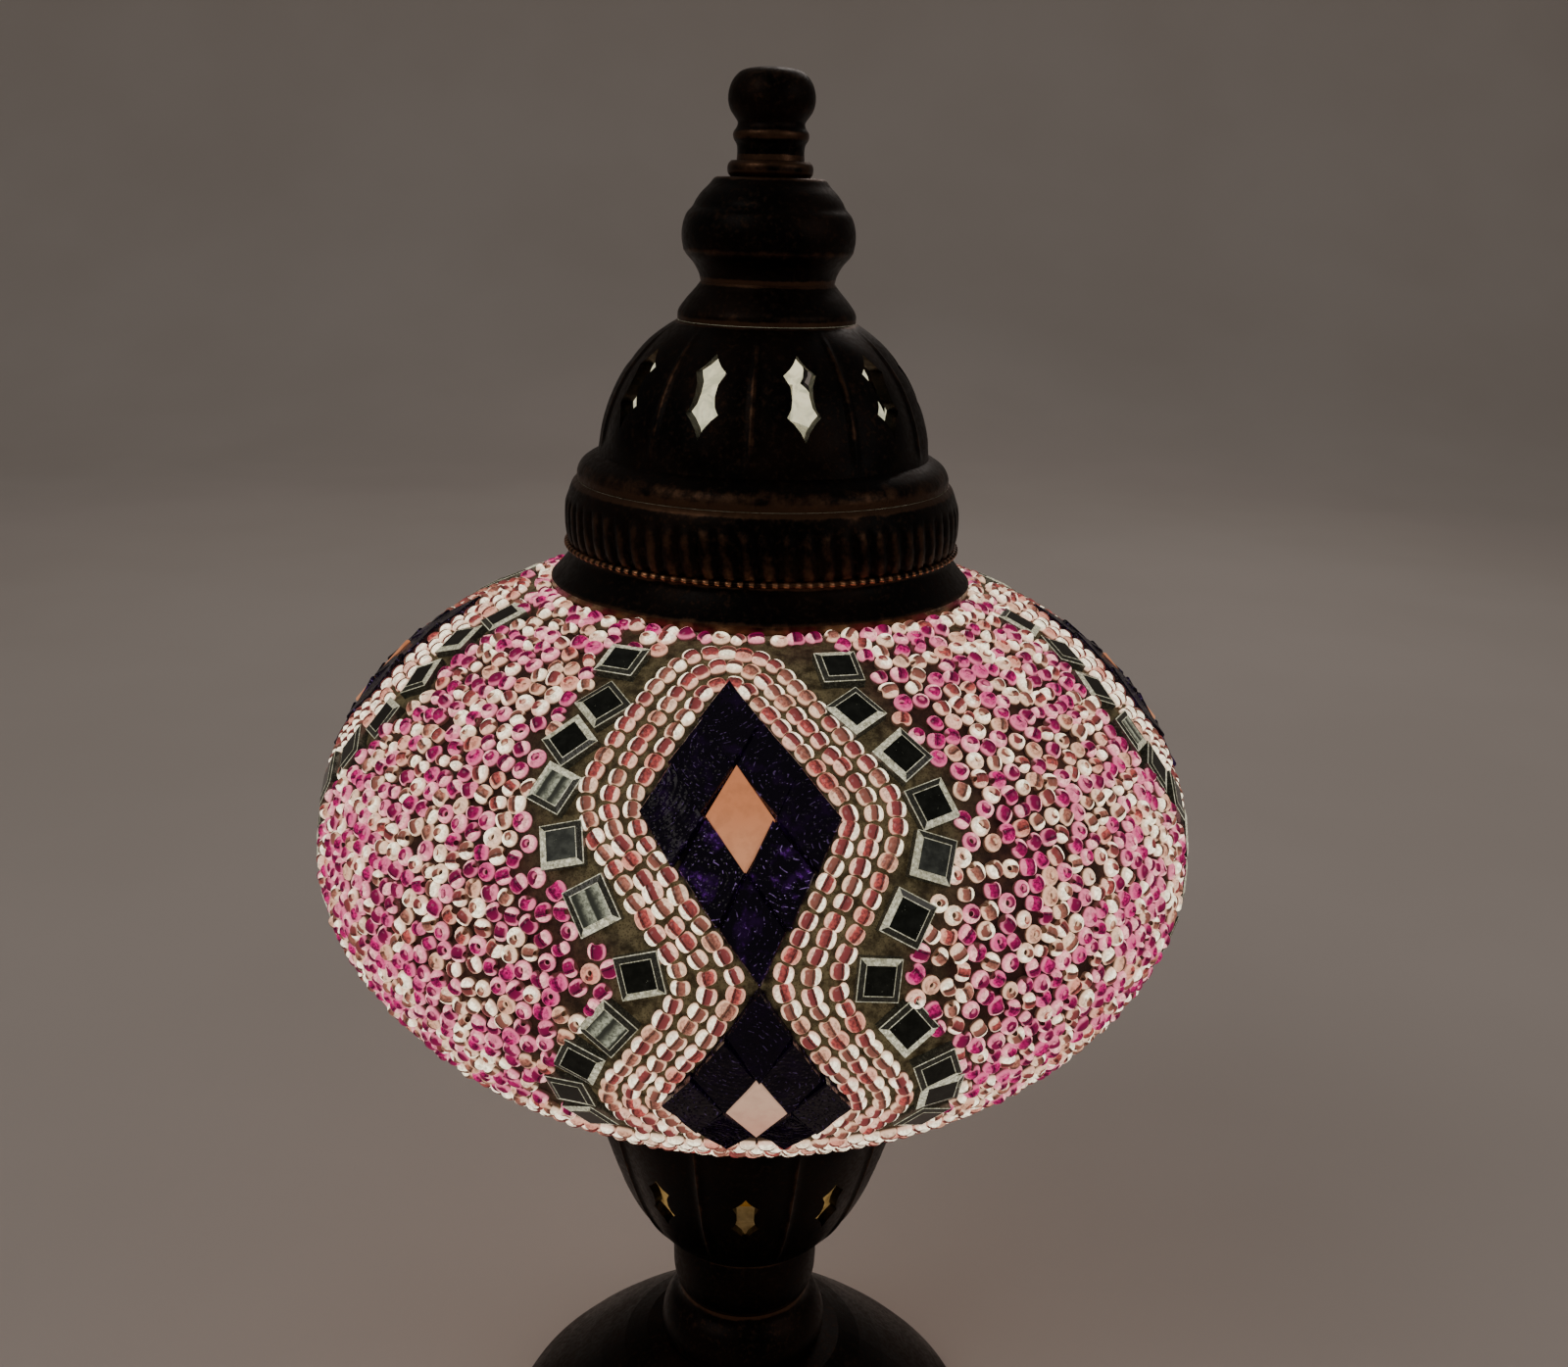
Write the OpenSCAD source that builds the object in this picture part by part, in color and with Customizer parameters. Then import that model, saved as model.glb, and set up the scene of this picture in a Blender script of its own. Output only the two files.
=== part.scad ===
// Mosaic glass table lamp: cast foot and stem, pierced cup, beaded glass globe,
// pierced cap with a screw-on finial, and a candle bulb inside.
// Millimetres, +Z up, origin at the centre of the underside.

/* [Globe] */
// Largest radius of the globe, over its beads
globe_r = 97; // [94:0.5:99]
// Height of the globe's upper half above its widest point
globe_top_h = 66; // [65:0.5:67]
// Depth of the globe's lower half below its widest point
globe_low_h = 64.6; // [64:0.2:66]
// Squareness of the upper half, 2 is an ellipse
top_round = 2.18; // [2.1:0.02:2.3]
// Squareness of the lower half, 2 is an ellipse
low_round = 1.81; // [1.75:0.01:1.9]
// Height of the widest point above the table
globe_mid_z = 170.6; // [170:0.2:172]
// Depth of the mosaic from the bead tops to the glass
mosaic_t = 4.4; // [4.2:0.1:5]
// Thickness of the blown glass
glass_t = 2.4; // [1.8:0.1:3]
// Radius of the opening at the top of the glass
top_open_r = 38.2; // [37.5:0.1:39]
// Radius of the opening at the bottom of the glass
low_open_r = 31; // [29:0.5:32]

/* [Mosaic] */
// Number of identical medallions round the globe
medallions = 4; // [4:1:4]
// Width of one cut rhombus
rhomb_w = 11.6; // [10:0.1:12]
// Height of one cut rhombus
rhomb_h = 18.9; // [17:0.1:19]
// Grout joint between neighbouring rhombs
joint_w = 0.8; // [0.5:0.1:1.2]
// Thickness of the cut glass tiles
tile_t = 2.3; // [2:0.1:2.5]
// Side of one bevelled mirror square
square_w = 7.0; // [6.5:0.1:7.1]
// Distance along the surface from the widest point up to the medallion's waist
waist_s = 9.6; // [9:0.1:10]

/* [Cap] */
// Number of lobes and windows round the dome and round the cup
lobes = 10; // [8:1:10]
// Turn of the dome's windows from the front
dome_turn = 13.8; // [0:0.1:36]
// Radius of the hole for the top stud in the cap's pieces
stud_hole_r = 3.3; // [3.2:0.05:3.5]

/* [Stem and foot] */
// Radius of the foot where it meets the felt
foot_r = 60; // [59:0.5:61]
// Radius of the threaded centre tube
tube_r = 5; // [4.9:0.05:5]
// Bore of the centre tube, for the flex
tube_bore_r = 3.9; // [3.5:0.1:4]
// Radius of the bore in the cord grommet
grommet_bore_r = 3.1; // [2.8:0.1:3.2]
// Height of the cord inlet's axis above the table
inlet_z = 8.5; // [8:0.1:9]

/* [Tie frame] */
// Distance of each tie wire from the lamp's axis
wire_x = 22; // [21.5:0.1:22.4]
// Radius of the tie wire
wire_r = 2; // [1.8:0.1:2]
// Radius of the top stud
stud_r = 3; // [2.9:0.05:3]

/* [Bulb] */
// Radius of the candle bulb's glass
bulb_r = 17.5; // [16:0.5:18]
// Height of the bulb's tip above the table
bulb_top_z = 204; // [200:1:208]

/* [Hidden] */
$fn = 96;

// ---- the globe's surface ----
// Radius and height of the surface d mm below the bead tops, at angle a
function sr(a, d, e) = (globe_r - d) * pow(cos(a), 2 / e);
function sz(a, d, e, h) = (h - d) * pow(sin(a), 2 / e);
STEPS = 180;
// [distance from the widest point, radius, height] along one half
function half(h, e) = let (p = [for (i = [0 : STEPS]) let (a = 90 * i / STEPS) [sr(a, 0, e), sz(a, 0, e, h)]])
    [for (i = 0, s = 0; i <= STEPS; s = s + (i < STEPS ? norm(p[i + 1] - p[i]) : 0), i = i + 1) [s, p[i][0], p[i][1]]];
UP = half(globe_top_h, top_round);
LOW = half(globe_low_h, low_round);
UP_R = [for (q = UP) [q[0], q[1]]];
UP_Z = [for (q = UP) [q[0], q[2]]];
LOW_R = [for (q = LOW) [q[0], q[1]]];
LOW_Z = [for (q = LOW) [q[0], q[2]]];
function r_of(s) = s >= 0 ? lookup(s, UP_R) : lookup(-s, LOW_R);
function z_of(s) = s >= 0 ? lookup(s, UP_Z) : -lookup(-s, LOW_Z);
// Elevation of the surface's outward normal
function tilt_of(s) = let (e = s >= 0 ? top_round : low_round, h = s >= 0 ? globe_top_h : globe_low_h,
        gr = pow(r_of(s) / globe_r, e - 1) / globe_r, gz = pow(abs(z_of(s)) / h, e - 1) / h)
    atan2(s >= 0 ? gz : -gz, gr);
// The point d mm below the bead tops at distance s, as [radius, height above the table]
function at(s, d) = [r_of(s) - d * cos(tilt_of(s)), globe_mid_z + z_of(s) - d * sin(tilt_of(s))];
// A closed band of the surface between two distances and two depths
function band(s0, s1, d0, d1, n) = concat([for (i = [0 : n]) at(s0 + (s1 - s0) * i / n, d0)],
    [for (i = [n : -1 : 0]) at(s0 + (s1 - s0) * i / n, d1)]);
S_TOP = 83.6;
S_LOW = -83.6;

// Puts a tile on the surface: x mm along the parallel and s mm along the meridian
module on_globe(x, s, d, turn = 0) {
    p = at(s, d);
    rotate([0, 0, x / r_of(s) * 180 / PI]) translate([0, -p[0], p[1]])
        rotate([90 - tilt_of(s), 0, 0]) rotate([0, 0, turn]) children();
}
module rhomb_tile() linear_extrude(tile_t)
    polygon([[0, rhomb_h * 0.47 - joint_w], [rhomb_w * 0.47 - joint_w / 2, 0], [0, joint_w - rhomb_h * 0.47], [joint_w / 2 - rhomb_w * 0.47, 0]]);

// Half width of the mosaic's inner outline, two stacked rhombs of three by three tiles
half_h = 1.5 * rhomb_h;
half_w = 1.5 * rhomb_w;
function outline(s) = let (u = abs(s - waist_s), v = u > 2 * half_h ? 0 : u < half_h ? u / half_h : 2 - u / half_h) half_w * max(v, 0);
// The mirror squares' line: rises from the waist, round each corner and in again
function square_x(s) = let (u = abs(s - waist_s)) 22.5 + 13 * pow(sin(min(u / half_h, 2) * 90), 1.3);
square_s = [for (i = [-4 : 6]) waist_s + i * 9.6];

// ---- round pieces ----
module turned(points) rotate_extrude() polygon(points);
module ring(r0, r1, z0, z1) translate([0, 0, z0]) difference() {
    cylinder(r = r1, h = z1 - z0);
    translate([0, 0, -1]) cylinder(r = r0, h = z1 - z0 + 2);
}
module hex_nut(across, bore, z0, z1) translate([0, 0, z0]) difference() {
    cylinder(r = across / 2 / cos(30), h = z1 - z0, $fn = 6);
    translate([0, 0, -1]) cylinder(r = bore, h = z1 - z0 + 2);
}
// Pierced window: two stacked pointed lenses, from height z0 to z1
module window(z0, z1, w) {
    h = z1 - z0;
    translate([0, -60, z0]) rotate([-90, 0, 0]) mirror([0, 1, 0]) linear_extrude(50)
        polygon([[0, 0], [0.12 * w, 0.13 * h], [0.32 * w, 0.24 * h], [0.5 * w, 0.31 * h], [0.37 * w, 0.4 * h],
            [0.31 * w, 0.52 * h], [0.33 * w, 0.66 * h], [0.48 * w, 0.78 * h], [0.27 * w, 0.85 * h], [0.12 * w, 0.92 * h],
            [0, h], [-0.12 * w, 0.92 * h], [-0.27 * w, 0.85 * h], [-0.48 * w, 0.78 * h], [-0.33 * w, 0.66 * h],
            [-0.31 * w, 0.52 * h], [-0.37 * w, 0.4 * h], [-0.5 * w, 0.31 * h], [-0.32 * w, 0.24 * h], [-0.12 * w, 0.13 * h]]);
}

// ---- foot and stem ----
foot_out = [[foot_r, 1.5], [foot_r, 3], [58.5, 5.6], [54.5, 9.8], [49, 14.8], [42, 20.6], [36, 25.4], [30, 29.8], [24.5, 32.8], [19.5, 34]];
foot_in = [[9, 31], [22.6, 30.2], [28.4, 27.2], [34.2, 22.8], [40, 18.1], [46.6, 12.6], [51.6, 8], [55.8, 4.2], [57, 2.6], [57, 1.5]];
module felt_pad() color("darkgreen") turned([[12, 0], [foot_r - 1, 0], [foot_r - 1, 1.5], [12, 1.5]]);
module foot_casting() color("saddlebrown") difference() {
    union() {
        turned(concat(foot_out, [[tube_r + 0.15, 34], [tube_r + 0.15, 21], [9, 21]], foot_in));
        // thickening behind the cord inlet
        translate([0, 44.5, inlet_z]) rotate([-90, 0, 0]) cylinder(r = 6.4, h = 6.5);
    }
    translate([0, 40, inlet_z]) rotate([-90, 0, 0]) cylinder(r = 4.45, h = 30);
    translate([0, 51, inlet_z]) rotate([-90, 0, 0]) cylinder(r = 6.9, h = 30);
}
module cord_grommet() color("dimgray") translate([0, 0, inlet_z]) rotate([-90, 0, 0])
    turned([[grommet_bore_r, 42.6], [5.6, 42.6], [5.6, 44.4], [4.4, 44.4], [4.4, 51.05], [6.6, 51.05], [6.6, 52.4], [5.8, 53.2], [grommet_bore_r, 53.2]]);
module weight_plate() color("slategray") ring(tube_r + 0.3, 35, 15, 21);
module tube_washer() color("silver") ring(tube_r + 0.3, 11, 13.5, 15);
module tube_nut() color("silver") hex_nut(14, tube_r + 0.03, 8.5, 13.5);
module centre_tube() color("gainsboro") ring(tube_bore_r, tube_r, 8, 83);
module stem_bulge() color("saddlebrown") turned([[19.2, 34.02], [20.1, 35.6], [20.4, 38], [19.9, 41], [18.4, 44], [16.4, 46.4], [16, 48.5],
    [tube_r + 0.15, 48.5], [tube_r + 0.15, 46.2], [14.2, 46.2], [16.4, 43], [18.1, 40.2], [18.4, 38], [17.9, 36], [17.2, 34.02]]);
module stem_collar() color("saddlebrown") turned([[15.9, 48.52], [16.9, 50.2], [17.5, 53], [17.7, 56.4], [17.6, 60], [17.1, 62.8], [16.6, 64.3],
    [tube_r + 0.15, 64.3], [tube_r + 0.15, 61.8], [14.8, 61.8], [15.6, 57], [15.5, 53.4], [14.8, 50.8], [14.2, 48.52]]);
module lower_cup() color("saddlebrown") difference() {
    turned([[16.8, 64.35], [19.8, 65.7], [23.4, 69.4], [26.8, 74.4], [29.9, 80.8], [32.5, 87.8], [34.8, 95.4], [36.8, 103], [38.2, 109], [39.5, 112.4], [39.5, 114.5],
        [37.2, 114.5], [36.3, 109], [34.9, 103.3], [32.9, 95.8], [30.6, 88.4], [28, 81.6], [25, 75.6], [21.4, 70.6], [18.4, 67.6], [tube_r + 0.15, 67.6], [tube_r + 0.15, 64.35]]);
    for (i = [0 : lobes - 1]) rotate([0, 0, i * 360 / lobes]) window(80.6, 95, 6.2);
}
module cup_gasket() color("ivory") turned([[36.6, 114.52], [39.4, 114.52], [39.4, 117.3], [36.6, 116.5]]);
module cup_washer() color("silver") ring(tube_r + 0.3, 12, 67.6, 69.1);
module cup_nut() color("silver") hex_nut(14, tube_r + 0.03, 69.1, 74.1);

// ---- tie frame that holds cap and globe down ----
module tube_spacer() color("goldenrod") ring(tube_r + 0.2, 8, 74.1, 78);
module tie_saddle() color("silver") difference() {
    union() {
        intersection() {
            translate([-25, -6, 78]) cube([50, 12, 1.5]);
            translate([0, 0, 77]) cylinder(r = 24.9, h = 4);
        }
        for (m = [-1, 1]) translate([m * wire_x, 0, 79]) cylinder(r = wire_r, h = 7);
    }
    translate([0, 0, 70]) cylinder(r = tube_r + 0.2, h = 20);
}
module tie_sleeves() color("goldenrod") for (m = [-1, 1]) translate([m * wire_x, 0, 0]) ring(wire_r + 0.05, wire_r + 1.2, 81, 92);
module tie_frame() color("silver") difference() {
    union() {
        for (m = [-1, 1]) translate([m * wire_x, 0, 86.05]) cylinder(r = wire_r, h = 153.95);
        translate([0, 0, 240]) rotate([90, 0, 0]) rotate_extrude(angle = 180) translate([wire_x, 0]) circle(r = wire_r);
        translate([0, 0, 258]) cylinder(r = 5.5, h = 8);
    }
    translate([0, 0, 250]) cylinder(r = stud_r + 0.03, h = 20);
}
module top_stud() color("gainsboro") translate([0, 0, 252]) cylinder(r = stud_r, h = 75);
module stud_nuts() color("silver") {
    hex_nut(10, stud_r + 0.03, 253, 258);
    hex_nut(10, stud_r + 0.03, 266, 271);
}

// ---- lampholder and bulb ----
module lampholder_shell() color("white") turned([[tube_r + 0.03, 79.5], [12.6, 79.5], [14, 81], [14, 104], [13.2, 106], [13.2, 123], [12.2, 124],
    [9.6, 124], [9.6, 121.5], [11.5, 121.5], [11.5, 83.4], [tube_r + 0.03, 83.4]]);
module lampholder_core() color("whitesmoke") translate([0, 0, 84]) cylinder(r = 11.4, h = 16.5);
module screw_shell() color("goldenrod") ring(6.95, 7.6, 100.6, 121);
module centre_contact() color("goldenrod") translate([0, 0, 100.55]) cylinder(r = 2.4, h = 2.6);
module terminal_screws() color("goldenrod") for (m = [-1, 1]) translate([m * 9.4, 0, 100.55]) cylinder(r = 1.5, h = 2);
module bulb_tip() color("gainsboro") turned([[0, 103.2], [1.6, 103.3], [2.4, 104], [5.2, 105.95], [0, 105.95]]);
module bulb_cap() color("gainsboro") turned([[6.85, 106], [6.85, 121], [8.3, 124.4], [8.7, 126], [8.2, 126], [6.3, 121.4], [6.3, 107], [0, 107], [0, 106]]);
// Candle bulb profile, thin walled
function candle(u, d) = [(bulb_r - d) * (u < 0.45 ? 0.47 + 0.53 * sin(u / 0.45 * 90) : pow(cos((u - 0.45) / 0.55 * 90), 0.75)) * 1, 126.1 + d + u * (bulb_top_z - 126.1 - 2 * d)];
module bulb_glass() color("lightyellow") turned(concat([for (i = [0 : 20]) candle(i / 20, 0)], [for (i = [20 : -1 : 0]) candle(i / 20, 0.8)]));
module bulb_filament() color("gold") {
    translate([0, 0, 128]) cylinder(r1 = 5, r2 = 1.4, h = 18);
    for (i = [0 : 3]) rotate([0, 0, 45 + i * 90]) translate([5, 0, 147]) rotate([0, 4, 0]) cylinder(r = 0.8, h = 34);
}

// ---- globe and its mosaic ----
function glass_side(s0, s1, d) = [for (i = [0 : 40]) at(s0 + (s1 - s0) * i / 40, d)];
module glass_globe() color("honeydew") turned(concat(
    [[low_open_r, 118.6]], glass_side(-88.5, 88, mosaic_t), [[top_open_r, 226.1]],
    [for (i = [40 : -1 : 0]) at(-88.5 + 176.5 * i / 40, mosaic_t + glass_t)]));
module grout_layer() color("dimgray") turned(band(S_LOW, S_TOP, mosaic_t - 1.5, mosaic_t - 0.05, 42));
// One stepped patch of beads between two angles and two distances
module patch(a0, a1, s0, s1) if (a1 - a0 > 1) rotate([0, 0, -90 + a0])
    rotate_extrude(angle = a1 - a0) polygon(band(s0 + 0.05, s1 - 0.05, 0.2, mosaic_t - 1.55, 3));
STEP_S = [for (i = [0 : 11]) -36.4 + i * 10];
function deg_at(x, s) = x / r_of(s) * 180 / PI;
function widest(s0, s1) = max([for (k = [0 : 4]) let (s = s0 + (s1 - s0) * k / 4) deg_at(square_x(s) + 5.1, s)]);
function narrowest(s0, s1) = min([for (k = [0 : 4]) let (s = s0 + (s1 - s0) * k / 4) deg_at(square_x(s) - 5.1, s)]);
function purple_edge(s0, s1) = max([for (k = [0 : 4]) let (s = s0 + (s1 - s0) * k / 4) deg_at(outline(s) + 1.2, s)]);
module field_beads() color("hotpink") for (q = [0 : medallions - 1]) for (s = STEP_S)
    patch(q * 90 + widest(s, s + 10), q * 90 + 90 - widest(s, s + 10), s, s + 10);
module border_beads() color("lightpink") for (q = [0 : medallions - 1]) for (s = STEP_S) for (m = [0, 1])
    rotate([0, 0, q * 90]) if (m == 0) patch(purple_edge(s, s + 10), narrowest(s, s + 10), s, s + 10);
        else patch(-narrowest(s, s + 10), -purple_edge(s, s + 10), s, s + 10);
module foot_ring_beads() color("mistyrose") for (i = [0 : 3])
    turned(band(-83.2 + i * 11.7 + 0.05, -83.2 + (i + 1) * 11.7 - 0.05, 0.2, mosaic_t - 1.55, 3));
module mirror_squares() color("silver") for (q = [0 : medallions - 1]) rotate([0, 0, q * 90]) for (s = square_s) for (m = [-1, 1])
    on_globe(m * square_x(s), s, mosaic_t - 1.6 - 0.05, m * atan((square_x(s + 1) - square_x(s - 1)) / -2))
        translate([-square_w / 2, -square_w / 2, 0]) cube([square_w, square_w, tile_t]);
// Tile k of a three by three rhomb: row and place along it, as steps from its middle
GRID = [[0, 2], [-0.5, 1], [0.5, 1], [-1, 0], [1, 0], [-0.5, -1], [0.5, -1], [0, -2]];
module purple_rhombs() color("indigo") for (q = [0 : medallions - 1]) rotate([0, 0, q * 90]) {
    for (g = GRID) on_globe(g[0] * rhomb_w, waist_s + half_h + g[1] * rhomb_h / 2, mosaic_t - 1.6) rhomb_tile();
    for (g = GRID) if (g[1] > -2) on_globe(g[0] * rhomb_w, waist_s - half_h + g[1] * rhomb_h / 2, mosaic_t - 1.6) rhomb_tile();
}
module peach_rhombs() color("sandybrown") for (q = [0 : medallions - 1]) rotate([0, 0, q * 90]) for (m = [-1, 1])
    on_globe(0, waist_s + m * half_h, mosaic_t - 1.6) rhomb_tile();

// ---- cap ----
module cap_gasket() color("ivory") turned([[40.8, 227.5], [43.8, 226.75], [43.8, 229.28], [40.8, 229.28]]);
// The rim's drip lip hangs just over the beads and hides the gasket
module cap_skirt() color("saddlebrown") turned([[45.3, 228.2], [45.3, 230.1], [43.6, 231.9], [42, 233.9], [41.1, 235.6], [41.1, 237],
    [39.2, 237], [39.2, 231.2], [34.9, 231.2], [34.9, 223], [36.7, 223], [36.7, 229.3], [43.9, 229.3], [43.9, 228.2]]);
module cap_band() color("saddlebrown") turned([[41.1, 237.02], [41.8, 239.8], [42, 243.4], [41.7, 247], [40.6, 250.2], [39.8, 251],
    [36.4, 251], [38.2, 249], [39.2, 246], [39.4, 242], [39.2, 237.02]]);
module cap_dome() color("saddlebrown") difference() {
    turned([[39.6, 251.02], [39.6, 252.6], [38.8, 254.3], [37, 255.7], [35.2, 256.6], [34.7, 259.4], [34, 262.8], [32.9, 266.4], [31.4, 270], [29.4, 273.6],
        [26.8, 277], [23.8, 280.2], [20.8, 282.6], [18.6, 284], [stud_hole_r, 284], [stud_hole_r, 281.8], [17.4, 281.8], [20, 280.4], [22.8, 278], [25.6, 274.9], [28, 271.4],
        [29.8, 267.7], [31.2, 264.2], [32.2, 260.6], [32.8, 257], [33.2, 255], [35.6, 251.02]]);
    for (i = [0 : lobes - 1]) rotate([0, 0, dome_turn + i * 360 / lobes]) window(263.2, 279.2, 6.8);
}
module cap_collar() color("saddlebrown") turned([[18.6, 284.02], [18.5, 285.8], [16.9, 288.2], [14.8, 290.6], [13.9, 291.8],
    [stud_hole_r, 291.8], [stud_hole_r, 289.8], [12.6, 289.8], [15, 287.4], [16.6, 285.2], [16.6, 284.02]]);
module cap_bell() color("saddlebrown") turned([[13.9, 291.82], [14.3, 293.4], [15.5, 295.5], [16.9, 297.1], [17.5, 298], [17.9, 300.4], [17.7, 303], [16.9, 305.2],
    [15.7, 306.6], [15, 307.9], [13.9, 309.4], [12.4, 310.9], [11.3, 312.2], [10.8, 312.4],
    [stud_hole_r, 312.4], [stud_hole_r, 310.2], [10.6, 310.2], [12, 308.6], [13.6, 306.4], [14.8, 304.6], [15.8, 302.4], [16, 300.4], [15.4, 298.2], [13.8, 296.4], [12.2, 293.8], [11.9, 291.82]]);
module finial_washer() color("saddlebrown") turned([[stud_hole_r, 312.45], [8.1, 312.45], [8.65, 313.2], [8.65, 314.8], [8, 315.6], [stud_hole_r, 315.6]]);
module finial_knob() color("saddlebrown") turned([[stud_r + 0.05, 315.7], [6.9, 315.7], [6.8, 317.6], [7, 318.8], [7.6, 319.8], [7.65, 321], [7, 322],
    [6.8, 322.9], [7.5, 324], [8.3, 325.2], [8.8, 327], [8.6, 329.2], [7.7, 331.2], [6.2, 332.6], [3.6, 333.3], [0, 333.5], [0, 328], [stud_r + 0.05, 328]]);

felt_pad();
foot_casting();
cord_grommet();
weight_plate();
tube_washer();
tube_nut();
centre_tube();
stem_bulge();
stem_collar();
lower_cup();
cup_gasket();
cup_washer();
cup_nut();
tube_spacer();
tie_saddle();
tie_sleeves();
tie_frame();
top_stud();
stud_nuts();
lampholder_shell();
lampholder_core();
screw_shell();
centre_contact();
terminal_screws();
bulb_tip();
bulb_cap();
bulb_glass();
bulb_filament();
glass_globe();
grout_layer();
field_beads();
border_beads();
foot_ring_beads();
mirror_squares();
purple_rhombs();
peach_rhombs();
cap_gasket();
cap_skirt();
cap_band();
cap_dome();
cap_collar();
cap_bell();
finial_washer();
finial_knob();
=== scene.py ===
import bpy
import math
import numpy as np
from mathutils import Matrix, Vector
from mathutils.kdtree import KDTree


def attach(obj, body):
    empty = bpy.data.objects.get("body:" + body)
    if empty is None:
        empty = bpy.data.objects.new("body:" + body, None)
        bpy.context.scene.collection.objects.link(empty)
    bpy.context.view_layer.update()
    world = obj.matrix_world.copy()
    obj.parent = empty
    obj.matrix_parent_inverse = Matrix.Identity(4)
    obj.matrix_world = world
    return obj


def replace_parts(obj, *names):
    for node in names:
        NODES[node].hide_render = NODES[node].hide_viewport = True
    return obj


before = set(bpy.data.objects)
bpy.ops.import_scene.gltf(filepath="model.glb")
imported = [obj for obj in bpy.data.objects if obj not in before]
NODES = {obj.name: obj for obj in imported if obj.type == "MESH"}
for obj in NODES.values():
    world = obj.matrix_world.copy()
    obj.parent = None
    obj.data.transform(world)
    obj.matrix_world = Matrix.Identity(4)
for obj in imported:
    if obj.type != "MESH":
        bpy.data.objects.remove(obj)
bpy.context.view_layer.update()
rng = np.random.default_rng(446)

# ---------------------------------------------------------------- the globe's surface, mm
R, H_UP, H_LOW, E_UP, E_LOW, MID = 97.0, 66.0, 64.6, 2.18, 1.81, 170.6
WAIST = 9.6
RHOMB_W, RHOMB_H = 11.6, 18.9
# the hand-laid upper rhomb comes out a little larger than the lower one
GROW = 1.045


def grow(s):
    return GROW if s > WAIST else 1.0


HALF_H, HALF_W = 1.5 * RHOMB_H, 1.5 * RHOMB_W
APEX = WAIST + 2 * HALF_H * GROW


def half_table(h, e):
    a = np.linspace(0, math.pi / 2, 1441)
    r = R * np.clip(np.cos(a), 0, 1) ** (2 / e)
    z = h * np.clip(np.sin(a), 0, 1) ** (2 / e)
    s = np.concatenate([[0], np.cumsum(np.hypot(np.diff(r), np.diff(z)))])
    return s, r, z


UP, LOW = half_table(H_UP, E_UP), half_table(H_LOW, E_LOW)


def r_of(s):
    s = np.asarray(s, float)
    return np.where(s >= 0, np.interp(s, UP[0], UP[1]), np.interp(-s, LOW[0], LOW[1]))


def z_of(s):
    s = np.asarray(s, float)
    return np.where(s >= 0, np.interp(s, UP[0], UP[2]), -np.interp(-s, LOW[0], LOW[2]))


def tilt_of(s):
    s = np.asarray(s, float)
    e = np.where(s >= 0, E_UP, E_LOW)
    h = np.where(s >= 0, H_UP, H_LOW)
    gr = (r_of(s) / R) ** (e - 1) / R
    gz = (np.abs(z_of(s)) / h) ** (e - 1) / h
    return np.arctan2(np.where(s >= 0, gz, -gz), gr)


def surf(phi, s, d=0.0):
    """Points, and the east, up and outward directions, at angles phi and distances s, d mm under the bead tops."""
    phi, s = np.broadcast_arrays(np.asarray(phi, float), np.asarray(s, float))
    t = tilt_of(s)
    er = np.stack([np.sin(phi), -np.cos(phi), np.zeros_like(phi)], -1)
    east = np.stack([np.cos(phi), np.sin(phi), np.zeros_like(phi)], -1)
    ez = np.array([0.0, 0.0, 1.0])
    n = np.cos(t)[..., None] * er + np.sin(t)[..., None] * ez
    up = -np.sin(t)[..., None] * er + np.cos(t)[..., None] * ez
    rr = r_of(s) - d * np.cos(t)
    zz = MID + z_of(s) - d * np.sin(t)
    return rr[..., None] * er + zz[..., None] * ez, east, up, n


def lean(q, s):
    """How far the hand-laid medallion q wanders sideways, mm along the parallel."""
    top = (-7.3, 4.0, -3.0, 5.0)[q]
    foot = (1.6, -1.5, 1.4, -1.8)[q]
    t = np.clip((np.asarray(s, float) - WAIST) / 57.0, 0, 1)
    return foot + top * (1.2 * t - 0.2 * t * t)


# ---------------------------------------------------------------- mesh helpers
def make(name, verts, quads, uv=None, smooth=True, mats=(), index=None, attrs=None, scale=0.001):
    """A mesh object from arrays. quads may hold -1 in its last column for a triangle."""
    verts = np.asarray(verts, np.float64).reshape(-1, 3) * scale
    quads = np.asarray(quads, np.int64)
    me = bpy.data.meshes.new(name)
    if quads.shape[1] == 4 and (quads[:, 3] < 0).any():
        sizes = np.where(quads[:, 3] < 0, 3, 4)
        loops = quads.ravel()
        loops = loops[loops >= 0]
    else:
        sizes = np.full(len(quads), quads.shape[1])
        loops = quads.ravel()
    starts = np.concatenate([[0], np.cumsum(sizes)[:-1]])
    me.vertices.add(len(verts))
    me.vertices.foreach_set("co", verts.astype(np.float32).ravel())
    me.loops.add(len(loops))
    me.loops.foreach_set("vertex_index", loops.astype(np.int32))
    me.polygons.add(len(quads))
    me.polygons.foreach_set("loop_start", starts.astype(np.int32))
    me.polygons.foreach_set("use_smooth", np.full(len(quads), bool(smooth)))
    for m in mats:
        me.materials.append(m)
    if index is not None:
        me.polygons.foreach_set("material_index", np.asarray(index, np.int32))
    me.update(calc_edges=True)
    if uv is not None:
        layer = me.uv_layers.new(name="OFBake")
        layer.data.foreach_set("uv", np.asarray(uv, np.float32).ravel())
    for key, (kind, values) in (attrs or {}).items():
        a = me.attributes.new(key, kind, "POINT")
        field = {"FLOAT": "value", "FLOAT_VECTOR": "vector", "FLOAT_COLOR": "color"}[kind]
        a.data.foreach_set(field, np.asarray(values, np.float32).ravel())
    ob = bpy.data.objects.new(name, me)
    bpy.context.scene.collection.objects.link(ob)
    return ob


def sharpen(ob, degrees=38):
    ob.data.set_sharp_from_angle(angle=math.radians(degrees))


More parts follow.
